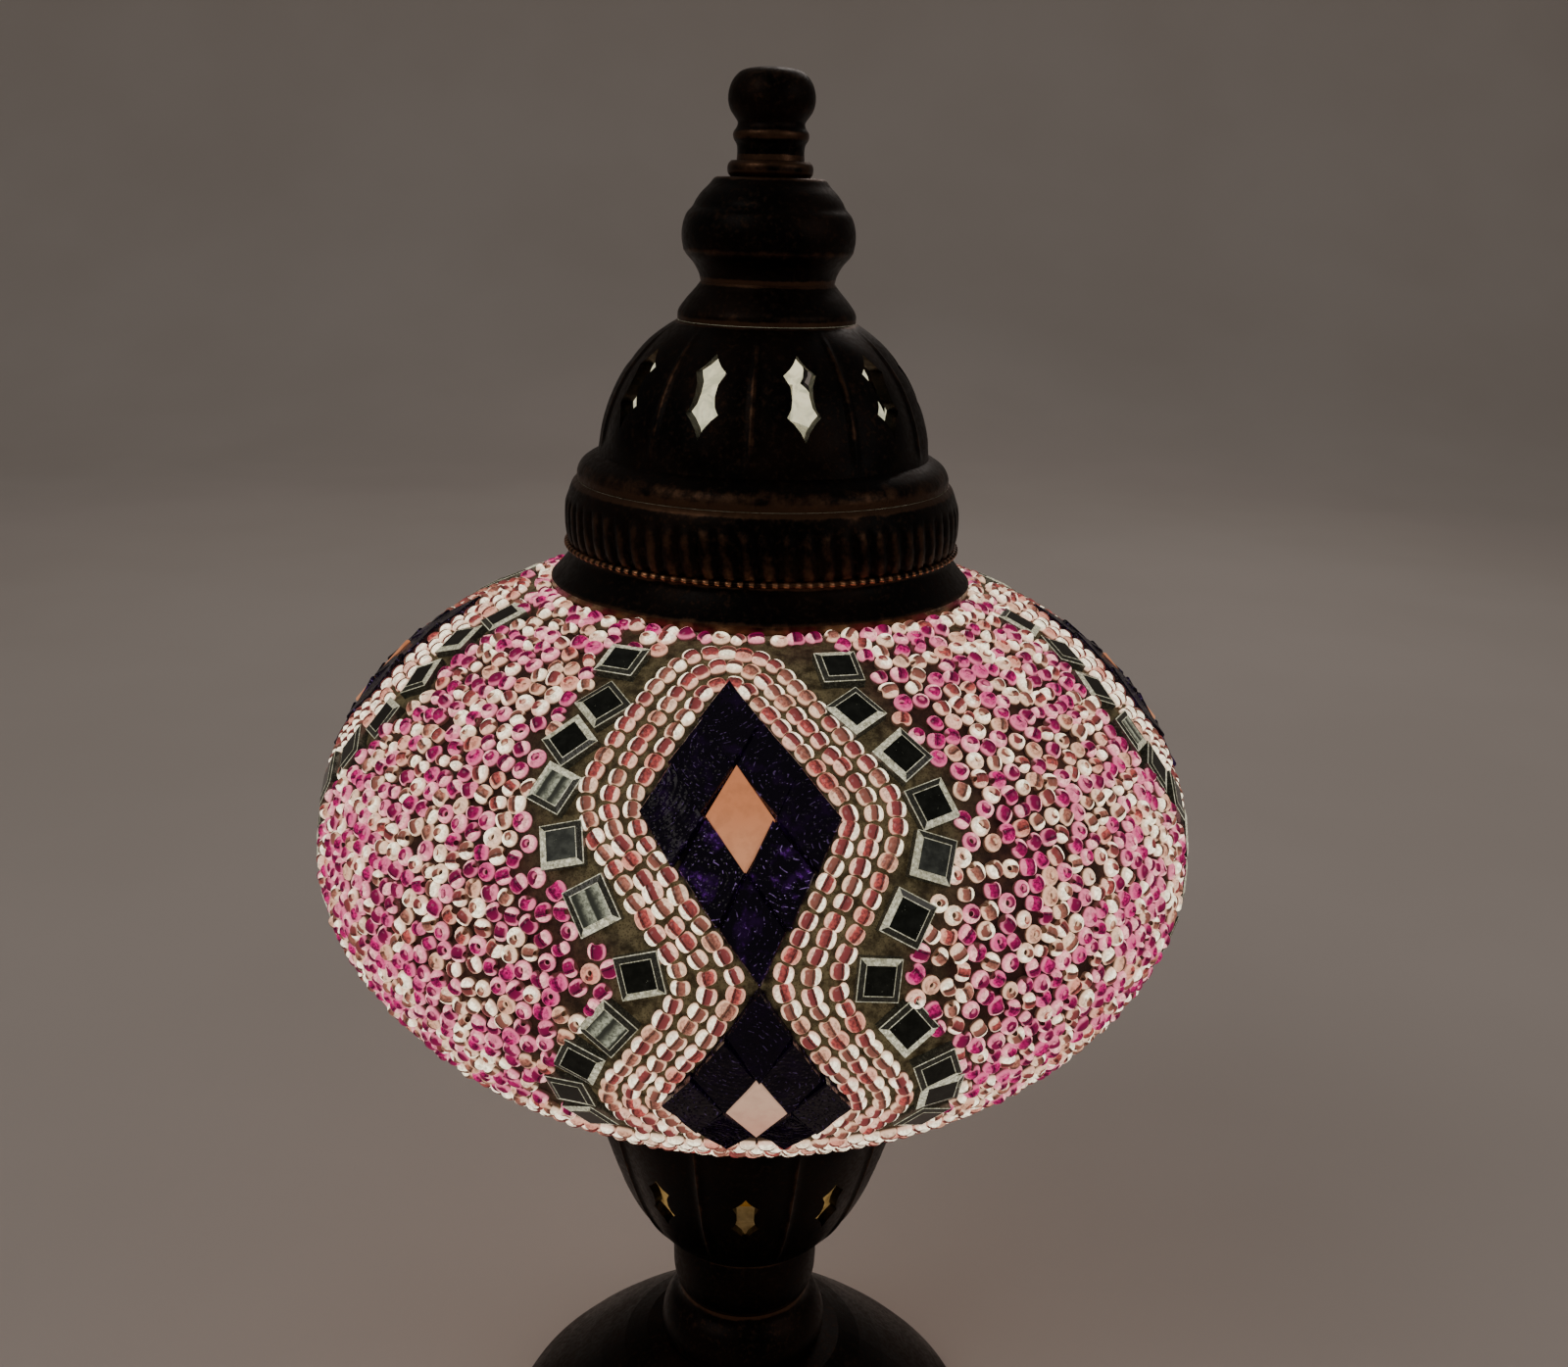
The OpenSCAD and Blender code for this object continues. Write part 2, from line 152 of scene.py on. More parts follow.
def curve_points(points, step=0.5, corners=()):
    """Catmull-Rom through the points with sharp corners kept, as an evenly stepped line."""
    p = np.asarray(points, float)
    cuts = sorted(set([0, len(p) - 1] + list(corners)))
    out = []
    for a, b in zip(cuts[:-1], cuts[1:]):
        seg = p[a:b + 1]
        if len(seg) == 2:
            n = max(1, int(np.linalg.norm(seg[1] - seg[0]) / step))
            line = seg[0] + (seg[1] - seg[0]) * np.linspace(0, 1, n + 1)[:, None]
        else:
            ext = np.vstack([2 * seg[0] - seg[1], seg, 2 * seg[-1] - seg[-2]])
            line = [seg[0]]
            for i in range(1, len(ext) - 2):
                p0, p1, p2, p3 = ext[i - 1:i + 3]
                k = [0.0]
                for u, v in ((p0, p1), (p1, p2), (p2, p3)):
                    k.append(k[-1] + max(np.linalg.norm(v - u), 1e-6) ** 0.5)
                n = max(2, int(np.linalg.norm(p2 - p1) / step))
                for t in np.linspace(k[1], k[2], n + 1)[1:]:
                    a1 = (k[1] - t) / (k[1] - k[0]) * p0 + (t - k[0]) / (k[1] - k[0]) * p1
                    a2 = (k[2] - t) / (k[2] - k[1]) * p1 + (t - k[1]) / (k[2] - k[1]) * p2
                    a3 = (k[3] - t) / (k[3] - k[2]) * p2 + (t - k[2]) / (k[3] - k[2]) * p3
                    b1 = (k[2] - t) / (k[2] - k[0]) * a1 + (t - k[0]) / (k[2] - k[0]) * a2
                    b2 = (k[3] - t) / (k[3] - k[1]) * a2 + (t - k[1]) / (k[3] - k[1]) * a3
                    line.append((k[2] - t) / (k[2] - k[1]) * b1 + (t - k[1]) / (k[2] - k[1]) * b2)
            line = np.array(line)
        out.extend(line[:-1] if b != cuts[-1] else line)
    return np.array(out)


def wear_and_highlight_of(profile):
    """1 on convex edges of a closed profile, 0 in hollows, 0.5 on flats."""
    n = len(profile)
    lengths = np.linalg.norm(np.roll(profile, -1, 0) - profile, axis=1)
    reach = max(2, int(1.0 / max(np.median(lengths), 1e-3)))
    a, b = np.roll(profile, reach, 0), np.roll(profile, -reach, 0)
    u, v = profile - a, b - profile
    cross = u[:, 0] * v[:, 1] - u[:, 1] * v[:, 0]
    dot = (u * v).sum(1)
    bend = np.arctan2(cross, dot)
    area = 0.5 * np.sum(profile[:, 0] * np.roll(profile[:, 1], -1) - np.roll(profile[:, 0], -1) * profile[:, 1])
    bend *= 1 if area > 0 else -1
    w = 0.5 + bend * 0.9
    for _ in range(2):
        w = (np.roll(w, 1) + 2 * w + np.roll(w, -1)) / 4
    return np.clip(w, 0, 1)


def lathe(name, profile, segs, mats, shape=None, inner=None, closed=True, wear_and_highlight=None):
    """Turns a closed (r, z) profile. shape(phi, r, z) gives an added radius and a change of the edge mask (worn copper
    and painted highlight) for each vertex.
    """
    profile = np.asarray(profile, float)
    n = len(profile)
    w = wear_and_highlight_of(profile) if wear_and_highlight is None else wear_and_highlight
    phi = np.arange(segs) * 2 * math.pi / segs
    rr = np.repeat(profile[:, 0][:, None], segs, 1)
    zz = np.repeat(profile[:, 1][:, None], segs, 1)
    ww = np.repeat(w[:, None], segs, 1)
    pp = np.repeat(phi[None, :], n, 0)
    if shape is not None:
        dr, dw = shape(pp, rr, zz, np.arange(n)[:, None])
        rr, ww = rr + dr, np.clip(ww + dw, 0, 1)
    verts = np.stack([rr * np.sin(pp), -rr * np.cos(pp), zz], -1).reshape(-1, 3)
    i = np.arange(n if closed else n - 1)
    j = np.arange(segs)
    ii, jj = np.meshgrid(i, j, indexing="ij")
    i2, j2 = (ii + 1) % n, (jj + 1) % segs
    quads = np.stack([ii * segs + jj, ii * segs + j2, i2 * segs + j2, i2 * segs + jj], -1).reshape(-1, 4)
    area = 0.5 * np.sum(profile[:, 0] * np.roll(profile[:, 1], -1) - np.roll(profile[:, 0], -1) * profile[:, 1])
    if area < 0:
        quads = quads[:, ::-1]
    index = None
    if inner is not None:
        index = np.repeat(inner.astype(int), segs) if closed else np.repeat(inner[:-1].astype(int), segs)
    return make(name, verts, quads, mats=mats, index=index, attrs={"wear_and_highlight": ("FLOAT", ww.ravel())})


# ---------------------------------------------------------------- material helpers
class Mat:
    """A node material and short ways to wire it."""

    def __init__(self, name, **values):
        self.m = bpy.data.materials.new(name)
        self.m.use_nodes = True
        self.t = self.m.node_tree
        self.b = self.t.nodes["Principled BSDF"]
        for k, v in values.items():
            self.set(k.replace("_", " "), v)

    def set(self, key, value):
        self.b.inputs[key].default_value = value

    def node(self, kind, **props):
        n = self.t.nodes.new(kind)
        for k, v in props.items():
            setattr(n, k, v)
        return n

    def feed(self, socket, value):
        if isinstance(value, (int, float)):
            socket.default_value = value
        elif isinstance(value, tuple):
            socket.default_value = value if len(value) != 3 or socket.type == "VECTOR" else (*value, 1)
        else:
            self.t.links.new(value, socket)

    def math(self, op, a, b=None, c=None, clamp=False):
        n = self.node("ShaderNodeMath", operation=op, use_clamp=clamp)
        for i, v in enumerate((a, b, c)):
            if v is not None:
                self.feed(n.inputs[i], v)
        return n.outputs[0]

    def ramp(self, value, lo, hi, out_lo=0.0, out_hi=1.0, smooth=True):
        n = self.node("ShaderNodeMapRange", interpolation_type="SMOOTHSTEP" if smooth else "LINEAR")
        self.feed(n.inputs["Value"], value)
        for k, v in (("From Min", lo), ("From Max", hi), ("To Min", out_lo), ("To Max", out_hi)):
            self.feed(n.inputs[k], v)
        return n.outputs["Result"]

    def mix(self, fac, a, b, mode="MIX"):
        n = self.node("ShaderNodeMix", data_type="RGBA", blend_type=mode)
        self.feed(n.inputs[0], fac)
        self.feed(n.inputs[6], a)
        self.feed(n.inputs[7], b)
        return n.outputs[2]

    def attr(self, name):
        return self.node("ShaderNodeAttribute", attribute_name=name)

    def place(self):
        return self.node("ShaderNodeTexCoord").outputs["Object"]

    def noise(self, scale, detail=3.0, rough=0.55, vector=None, distort=0.0):
        n = self.node("ShaderNodeTexNoise")
        self.feed(n.inputs["Vector"], vector or self.place())
        n.inputs["Scale"].default_value = scale
        n.inputs["Detail"].default_value = detail
        n.inputs["Roughness"].default_value = rough
        n.inputs["Distortion"].default_value = distort
        return n.outputs["Fac"]

    def voronoi(self, scale, feature="F1", vector=None, out="Distance"):
        n = self.node("ShaderNodeTexVoronoi", feature=feature)
        self.feed(n.inputs["Vector"], vector or self.place())
        n.inputs["Scale"].default_value = scale
        return n.outputs[out]

    def bump(self, height, strength, distance):
        n = self.node("ShaderNodeBump")
        n.inputs["Strength"].default_value = strength
        n.inputs["Distance"].default_value = distance
        self.feed(n.inputs["Height"], height)
        self.t.links.new(n.outputs["Normal"], self.b.inputs["Normal"])

    def to(self, key, value):
        self.feed(self.b.inputs[key], value)

    def emit(self, colour, strength):
        self.to("Emission Color", colour)
        self.set("Emission Strength", strength)
        self.m.cycles.emission_sampling = "NONE"


def bronze(name, dark=(0.0030, 0.0023, 0.0020), warm=(0.013, 0.0070, 0.0045), edge=(0.17, 0.085, 0.045), bare_and_highlight=0.42, cast=1.0):
    """Blackened antique bronze: near black in the hollows, copper on worn edges; the edge copper is also a painted
    highlight on edges and ribs.
    """
    k = Mat(name, Metallic=0.92)
    wear_and_highlight = k.attr("wear_and_highlight").outputs["Fac"]
    broad = k.noise(55, 4, 0.6)
    fine = k.noise(900, 3, 0.6)
    body = k.mix(k.ramp(broad, 0.38, 0.68), dark, warm)
    body = k.mix(k.math("MULTIPLY", k.ramp(fine, 0.5, 0.75), 0.35), body, (0.07, 0.036, 0.02))
    # copper on convex edges: worn bronze, and also a painted highlight along edges and ribs
    edge_rub_and_highlight = k.math("ADD", wear_and_highlight, k.math("MULTIPLY", k.math("SUBTRACT", k.noise(260, 5, 0.65), 0.5), 0.9))
    worn_edge_and_highlight = k.math("MULTIPLY", k.ramp(edge_rub_and_highlight, 0.66, 0.98), bare_and_highlight)
    k.to("Base Color", k.mix(worn_edge_and_highlight, body, edge))
    rough = k.math("ADD", k.ramp(broad, 0.3, 0.7, 0.30, 0.44), k.math("MULTIPLY", k.ramp(fine, 0.35, 0.7), 0.16))
    k.to("Roughness", k.math("SUBTRACT", rough, k.math("MULTIPLY", worn_edge_and_highlight, 0.12)))
    pits = k.ramp(k.voronoi(1300), 0.0, 0.35)
    k.bump(k.math("ADD", k.math("MULTIPLY", fine, 0.6), k.math("MULTIPLY", pits, 0.4)), 0.32 * cast, 0.00012)
    return k.m


def plain_metal(name, colour, dark, rough, scale=400, metallic=1.0):
    k = Mat(name, Metallic=metallic)
    n = k.noise(scale, 4, 0.6)
    k.to("Base Color", k.mix(k.ramp(n, 0.35, 0.7), colour, dark))
    k.to("Roughness", k.ramp(k.noise(scale * 2.5, 2), 0.3, 0.7, rough - 0.06, rough + 0.1))
    k.bump(k.noise(scale * 4, 2), 0.12, 0.00006)
    return k.m


def dull(name, colour, other, rough, scale, bump=0.3, distance=0.0002, spec=0.4):
    k = Mat(name, Specular_IOR_Level=spec)
    n = k.noise(scale, 5, 0.65)
    k.to("Base Color", k.mix(k.ramp(n, 0.3, 0.7), colour, other))
    k.to("Roughness", k.ramp(n, 0.3, 0.7, rough - 0.05, min(rough + 0.08, 1.0)))
    k.bump(k.noise(scale * 3, 3), bump, distance)
    return k.m


BRONZE = bronze("antique_bronze")
# painted highlight: a bright copper bronze for the seam rope, standing for the highlight line along the seam
BRONZE_SEAM_HIGHLIGHT = bronze("antique_bronze_seam_painted_highlight", warm=(0.10, 0.047, 0.024), edge=(0.42, 0.2, 0.1), bare_and_highlight=0.95)
FELT = dull("felt", (0.012, 0.03, 0.018), (0.024, 0.05, 0.03), 0.95, 1800, 0.8, 0.0004, 0.1)
RUBBER = dull("rubber", (0.012, 0.012, 0.012), (0.025, 0.024, 0.022), 0.6, 700, 0.2, 0.0001)
IRON = dull("cast_weight", (0.05, 0.048, 0.045), (0.085, 0.07, 0.058), 0.7, 300, 0.6, 0.0003)
GASKET = dull("gasket", (0.55, 0.52, 0.45), (0.66, 0.63, 0.56), 0.7, 600, 0.2, 0.0001)
ZINC = plain_metal("zinc_steel", (0.62, 0.62, 0.6), (0.42, 0.41, 0.38), 0.34)
BRASS = plain_metal("brass", (0.78, 0.57, 0.26), (0.5, 0.33, 0.13), 0.3)
HOLDER = dull("holder_white", (0.74, 0.72, 0.66), (0.66, 0.63, 0.56), 0.42, 240, 0.08, 0.0001, 0.5)
BULB_CAP = plain_metal("bulb_metal", (0.75, 0.74, 0.72), (0.55, 0.54, 0.5), 0.25)


def painted_glow_inside(name, colour, other, strength, base, scale):
    """Metal seen through a window, with the bulb's light on it painted in as a glow."""
    k = Mat(name, Metallic=0.4, Roughness=0.4)
    n = k.noise(scale, 4, 0.6, distort=1.5)
    glow_mottle = k.ramp(n, 0.34, 0.66)
    k.to("Base Color", k.mix(glow_mottle, base, tuple(min(1.0, c * 1.8) for c in base)))
    k.emit(k.mix(glow_mottle, other, colour), strength)
    return k.m


# painted light: the inner faces of dome and cup glow cream and amber as if the bulb shone on them
DOME_PAINTED_GLOW = painted_glow_inside("dome_inside_painted_glow", (0.86, 0.84, 0.6), (0.5, 0.52, 0.36), 0.9, (0.2, 0.17, 0.12), 160)
CUP_PAINTED_GLOW = painted_glow_inside("cup_inside_painted_glow", (0.42, 0.27, 0.09), (0.13, 0.08, 0.025), 0.55, (0.12, 0.08, 0.04), 160)

k = Mat("blown_glass", Roughness=0.12, IOR=1.5, Transmission_Weight=0.35)
g = k.noise(45, 3, 0.5)
k.to("Base Color", k.mix(k.ramp(g, 0.3, 0.7), (0.80, 0.84, 0.76), (0.90, 0.88, 0.80)))
# painted light: the glass glows warm, standing for the bulb's light through it
k.emit(k.mix(k.ramp(g, 0.3, 0.7), (0.62, 0.5, 0.36), (0.8, 0.66, 0.48)), 0.35)
k.bump(k.noise(120, 2), 0.2, 0.0003)
GLASS_PAINTED_GLOW = k.m

k = Mat("bulb_glass", Roughness=0.18, IOR=1.45)
h = k.node("ShaderNodeSeparateXYZ")
k.feed(h.inputs[0], k.place())
k.to("Base Color", k.mix(k.noise(80, 2), (0.95, 0.9, 0.8), (0.9, 0.84, 0.72)))
k.emit(k.mix(k.ramp(h.outputs[2], 0.128, 0.2), (1.0, 0.66, 0.36), (1.0, 0.84, 0.62)), 5.0)
BULB = k.m

k = Mat("filament", Roughness=0.4)
k.to("Base Color", k.mix(k.noise(900, 2), (0.95, 0.75, 0.4), (0.85, 0.6, 0.3)))
k.emit(k.mix(k.noise(900, 2), (1.0, 0.7, 0.35), (1.0, 0.6, 0.25)), 8.0)
FILAMENT = k.m


def grout_material():
    k = Mat("grout", Specular_IOR_Level=0.3)
    n = k.noise(420, 5, 0.65)
    broad = k.noise(60, 3, 0.5)
    sand = k.voronoi(2600)
    tone = k.ramp(n, 0.32, 0.7)
    wine = k.attr("wine").outputs["Fac"]
    ink = k.attr("ink").outputs["Fac"]
    base = k.mix(wine, k.mix(tone, (0.032, 0.026, 0.014), (0.080, 0.066, 0.036)), k.mix(tone, (0.020, 0.010, 0.008), (0.050, 0.026, 0.018)))
    k.to("Base Color", k.mix(ink, base, (0.004, 0.003, 0.003)))
    k.to("Roughness", k.ramp(n, 0.3, 0.7, 0.62, 0.85))
    # painted light: the grout glows as if the bulb shone through it, brighter olive-sand outside the bead field, dimmer
    # wine inside it, none under the medallion
    painted_glow = k.mix(k.math("MULTIPLY", tone, k.ramp(sand, 0.1, 0.5)), (0.030, 0.021, 0.009), (0.20, 0.155, 0.075))
    painted_glow_wine = k.mix(k.math("MULTIPLY", tone, k.ramp(broad, 0.35, 0.65)), (0.010, 0.004, 0.003), (0.075, 0.030, 0.020))
    k.emit(k.mix(ink, k.mix(wine, painted_glow, painted_glow_wine), (0.002, 0.001, 0.002)), 0.46)
    k.bump(k.math("ADD", k.math("MULTIPLY", n, 0.6), k.math("MULTIPLY", sand, 0.5)), 0.6, 0.0003)
    return k.m


GROUT = grout_material()


def bead_material(name, shine, shine_2, lining, lining_2, hole_and_shade, rim, wide):
    """Glass seed bead with painted light: a bright flank glowing as if from behind, the lined hole showing as a darker
    band through it, and a fine painted highlight along the rim.
    """
    k = Mat(name, Roughness=0.12, Specular_IOR_Level=0.4)
    a = k.node("ShaderNodeSeparateXYZ")
    k.feed(a.inputs[0], k.attr("bead").outputs["Vector"])
    u, v, w = a.outputs
    b = k.node("ShaderNodeSeparateXYZ")
    k.feed(b.inputs[0], k.attr("bead_mix").outputs["Vector"])
    rnd, lift, side = b.outputs
    across = k.math("MULTIPLY", side, v)
    over = k.math("MAXIMUM", k.math("SUBTRACT", k.math("ABSOLUTE", u), w), 0.0)
    # the band sits a little to one side, more so on some beads
    shift = k.math("MULTIPLY", k.math("ABSOLUTE", side), k.math("ADD", 0.10, k.math("MULTIPLY", rnd, 0.34)))
    centre = k.math("SUBTRACT", across, shift)
    d = k.math("SQRT", k.math("ADD", k.math("MULTIPLY", over, over), k.math("MULTIPLY", centre, centre)))
    wob = k.math("MULTIPLY", k.math("SUBTRACT", k.noise(1500, 3), 0.5), 0.42)
    edge = k.math("ADD", k.math("MULTIPLY", rnd, 0.34), 0.56 + wide)
    band = k.ramp(k.math("ADD", d, wob), k.math("ADD", edge, 0.16), edge)
    pick = k.math("FRACT", k.math("MULTIPLY", rnd, 7.31))
    # the band darkens towards the bright flank, a painted shade on that side of the lined hole, and ends there in a
    # fine dark line
    toward = k.ramp(centre, 0.75, -0.62)
    fine = k.ramp(k.math("ABSOLUTE", k.math("ADD", k.math("ADD", centre, wob), k.math("MULTIPLY", edge, 0.62))), 0.26, 0.04)
    dark = k.math("MULTIPLY", k.math("MAXIMUM", k.math("MULTIPLY", toward, k.math("ADD", 0.30, k.math("MULTIPLY", pick, 0.5))), fine), band)
    # painted light: the far flank glows dimmer than the bright one
    lit_flank = k.ramp(across, 0.35, -0.35)
    clear = k.mix(k.math("MAXIMUM", k.math("MULTIPLY", k.math("SUBTRACT", 1.0, lit_flank), 0.72), k.ramp(pick, 0.70, 0.86)), shine, shine_2)
    grain = k.math("MULTIPLY", k.ramp(k.noise(2600, 3, 0.65), 0.34, 0.62, 0.66, 1.12), k.ramp(k.noise(1000, 2, 0.5), 0.36, 0.64, 0.62, 1.08))
    clear = k.mix(1.0, clear, k.mix(grain, (0.0, 0.0, 0.0), (1.0, 1.0, 1.0)), "MULTIPLY")
    lined = k.mix(k.math("MULTIPLY", k.ramp(pick, 0.25, 0.9), k.ramp(k.noise(1900, 2), 0.35, 0.65)), lining, lining_2)
    lined = k.mix(k.math("MULTIPLY", dark, 0.92), lined, hole_and_shade)
    tone = k.mix(band, clear, lined)
    # painted highlight: a bright rim on the bead's sides, where it turns down towards the grout
    rim_highlight_mask = k.ramp(lift, 0.58, 0.36)
    tone = k.mix(k.math("MULTIPLY", rim_highlight_mask, 0.70), tone, rim)
    # painted shade: the glow fades to near black where the bead meets the grout
    painted_glow = k.mix(k.ramp(lift, 0.02, 0.30), (0.014, 0.008, 0.005), tone)
    # the base colour takes part of the painted tone too
    k.to("Base Color", k.mix(0.45, (0.012, 0.010, 0.008), tone))
    k.emit(painted_glow, BEAD_GLOW)
    return k.m


BEAD_GLOW = 2.3
BEADS = {
    "magenta": bead_material("bead_magenta", (0.72, 0.33, 0.32), (0.40, 0.042, 0.13), (0.090, 0.0007, 0.022), (0.36, 0.002, 0.096), (0.010, 0.0, 0.004), (0.44, 0.10, 0.16), 0.20),
    "rose": bead_material("bead_rose", (0.95, 0.82, 0.61), (0.45, 0.175, 0.12), (0.100, 0.019, 0.019), (0.29, 0.048, 0.040), (0.010, 0.004, 0.003), (0.50, 0.26, 0.18), 0.02),
    "pale": bead_material("bead_pale", (0.95, 0.84, 0.61), (0.44, 0.22, 0.14), (0.110, 0.036, 0.026), (0.26, 0.095, 0.062), (0.015, 0.008, 0.005), (0.50, 0.31, 0.20), 0.0),
}


def purple_material():
    """Hammered violet glass: nearly black, with painted glints, small bright specks where the dimples would bend the
    light, and a painted violet glow.
    """
    k = Mat("purple_glass", Roughness=0.16, Specular_IOR_Level=0.22)
    cells = k.voronoi(1250)
    spark = k.ramp(cells, 0.16, 0.06)
    pick = k.ramp(k.noise(1700, 1), 0.50, 0.62)
    patch = k.ramp(k.noise(210, 3, 0.6), 0.50, 0.70)
    rays = k.node("ShaderNodeTexWave", wave_type="RINGS", rings_direction="SPHERICAL")
    k.feed(rays.inputs["Vector"], k.attr("tile").outputs["Vector"])
    rays.inputs["Scale"].default_value = 0.30
    rays.inputs["Distortion"].default_value = 1.6
    rays.inputs["Detail"].default_value = 2.0
    rays.inputs["Detail Scale"].default_value = 1.5
    dash = k.math("MULTIPLY", k.ramp(rays.outputs["Fac"], 0.93, 1.0), k.ramp(k.noise(1000, 2), 0.54, 0.66))
    glow = k.attr("glow").outputs["Fac"]
    # painted light: the tile's violet glow, set by its glow level and patchy noise
    deep = k.mix(k.math("MULTIPLY", patch, glow), (0.0008, 0.0002, 0.0018), (0.016, 0.002, 0.034))
    rich = k.math("MULTIPLY", k.math("MULTIPLY", patch, glow), k.ramp(k.noise(900, 3, 0.7), 0.5, 0.72))
    painted_glow = k.mix(k.math("MULTIPLY", rich, glow), deep, (0.20, 0.022, 0.42))
    glint = k.math("MINIMUM", k.math("ADD", k.math("MULTIPLY", spark, pick), k.math("MULTIPLY", dash, 0.55)), 1.0)
    painted_glow = k.mix(k.math("MULTIPLY", glint, k.math("ADD", k.math("MULTIPLY", glow, 0.8), 0.12)), painted_glow, (0.52, 0.30, 0.80))
    k.to("Base Color", k.mix(patch, (0.002, 0.0006, 0.004), (0.006, 0.001, 0.012)))
    k.emit(painted_glow, 0.9)
    k.bump(k.math("ADD", k.ramp(cells, 0.0, 0.5), k.math("MULTIPLY", rays.outputs["Fac"], 0.3)), 0.5, 0.0002)
    return k.m


def peach_material():
    k = Mat("peach_glass", Roughness=0.16, Specular_IOR_Level=0.5)
    t = k.node("ShaderNodeSeparateXYZ")
    k.feed(t.inputs[0], k.attr("tile").outputs["Vector"])
    up = k.math("ADD", t.outputs[1], k.math("MULTIPLY", k.math("SUBTRACT", k.noise(160, 2), 0.5), 5.0))
    painted_glow_level = k.attr("glow").outputs["Fac"]
    tone = k.mix(k.ramp(up, -7.5, 4.0), (0.74, 0.31, 0.155), (0.66, 0.235, 0.100))
    pale = k.mix(k.ramp(up, -7.5, 4.0), (0.80, 0.42, 0.29), (0.84, 0.52, 0.36))
    # painted light: the tile with a high glow level is painted paler
    tone = k.mix(painted_glow_level, tone, pale)
    cloudy = k.ramp(k.noise(420, 4, 0.6), 0.3, 0.7, 0.86, 1.06)
    tone = k.mix(1.0, tone, k.mix(cloudy, (0, 0, 0), (1, 1, 1)), "MULTIPLY")
    k.to("Base Color", tone)
    # painted light: the whole tile glows in its own colour
    k.emit(tone, 0.62)
    k.bump(k.noise(260, 2), 0.25, 0.0002)
    return k.m


def mirror_material():
    k = Mat("mirror_glass", Metallic=0.85, Specular_IOR_Level=0.5)
    soil = k.noise(520, 4, 0.6)
    k.to("Base Color", k.mix(k.ramp(soil, 0.35, 0.7), (0.012, 0.014, 0.012), (0.034, 0.038, 0.032)))
    k.to("Roughness", k.ramp(k.noise(1400, 3), 0.4, 0.75, 0.03, 0.16))
    # painted glints: small bright specks glowing on the silvered face
    painted_glint = k.ramp(k.voronoi(1900), 0.12, 0.04)
    k.emit(k.mix(k.math("MULTIPLY", painted_glint, k.ramp(k.noise(700, 2), 0.52, 0.68)), (0.004, 0.004, 0.003), (0.6, 0.6, 0.42)), 0.6)
    return k.m


def ground_edge(name, painted_glow_level, high, strength, share):
    """The ground edges of the mirror squares, painted with light: they glow as if light caught them."""
    k = Mat(name, Roughness=0.12, Specular_IOR_Level=0.5)
    n = k.ramp(k.noise(1500, 4, 0.7), 0.5 - share, 0.5 + 0.6 * (1 - share))
    painted_glint = k.ramp(k.voronoi(2400), 0.35, 0.05, 0.0, 0.5)
    glow = k.attr("glow").outputs["Fac"]
    f = k.math("MULTIPLY", k.math("ADD", n, painted_glint), glow, clamp=True)
    tone = k.mix(f, painted_glow_level, high)
    k.to("Base Color", k.mix(0.4, (0.05, 0.05, 0.04), tone))
    k.emit(tone, strength)
    k.bump(k.noise(1500, 3), 0.3, 0.0002)
    return k.m


def painted_light_streak_material():
    """A square painted with light: grey-green bands of light run along it."""
    k = Mat("mirror_painted_light_streaks", Roughness=0.08, Specular_IOR_Level=0.5, Metallic=0.4)
    t = k.node("ShaderNodeSeparateXYZ")
    k.feed(t.inputs[0], k.attr("tile").outputs["Vector"])
    wav = k.math("ADD", k.math("MULTIPLY", t.outputs[0], 0.36), k.math("MULTIPLY", k.noise(260, 3), 0.34))
    bands = k.math("FRACT", wav)
    f = k.math("MULTIPLY", k.ramp(bands, 0.15, 0.85), k.ramp(bands, 1.0, 0.86))
    fine = k.ramp(k.noise(1700, 4, 0.75), 0.36, 0.62, 0.25, 1.1)
    tone = k.mix(k.math("MULTIPLY", f, fine, clamp=True), (0.035, 0.038, 0.028), (0.62, 0.64, 0.46))
    k.to("Base Color", k.mix(0.3, (0.04, 0.04, 0.035), tone))
    k.emit(tone, 0.6)
    return k.m


# painted light: a dim shaded copy for the slopes and sides, and a bright copy below for the slope the light falls on
# and the ground lines
SLOPE_PAINTED_SHADE = ground_edge("mirror_slope_painted_shade", (0.008, 0.008, 0.006), (0.13, 0.125, 0.08), 0.6, 0.05)
STREAK_PAINTED_LIGHT = painted_light_streak_material()
PURPLE, PEACH, MIRROR = purple_material(), peach_material(), mirror_material()
BEVEL_PAINTED_HIGHLIGHT = ground_edge("mirror_bevel_painted_highlight", (0.15, 0.14, 0.085), (0.95, 0.91, 0.68), 1.25, 0.22)

# ---------------------------------------------------------------- beads
BEAD_PROFILE = np.array([(1.95, 0.0), (1.88, 0.62), (1.62, 1.16), (1.16, 1.46), (0.76, 1.36), (0.58, 0.98),
                         (0.58, -0.98), (0.76, -1.36), (1.16, -1.46), (1.62, -1.16), (1.88, -0.62)])
BEAD_SEGS = 14


def bead_template():
    n = len(BEAD_PROFILE)
    th = np.arange(BEAD_SEGS) * 2 * math.pi / BEAD_SEGS
    v = np.stack([BEAD_PROFILE[:, 0][:, None] * np.cos(th), BEAD_PROFILE[:, 0][:, None] * np.sin(th),
                  np.repeat(BEAD_PROFILE[:, 1][:, None], BEAD_SEGS, 1)], -1).reshape(-1, 3)
    ii, jj = np.meshgrid(np.arange(n), np.arange(BEAD_SEGS), indexing="ij")
    i2, j2 = (ii + 1) % n, (jj + 1) % BEAD_SEGS
    q = np.stack([ii * BEAD_SEGS + jj, ii * BEAD_SEGS + j2, i2 * BEAD_SEGS + j2, i2 * BEAD_SEGS + jj], -1).reshape(-1, 4)
    du, dv = 1 / BEAD_SEGS, 1 / n
    uv = np.stack([np.stack([jj * du, ii * dv], -1), np.stack([(jj + 1) * du, ii * dv], -1),
                   np.stack([(jj + 1) * du, (ii + 1) * dv], -1), np.stack([jj * du, (ii + 1) * dv], -1)], 2).reshape(-1, 4, 2)
    return v, q, uv


BV, BQ, BUV = bead_template()


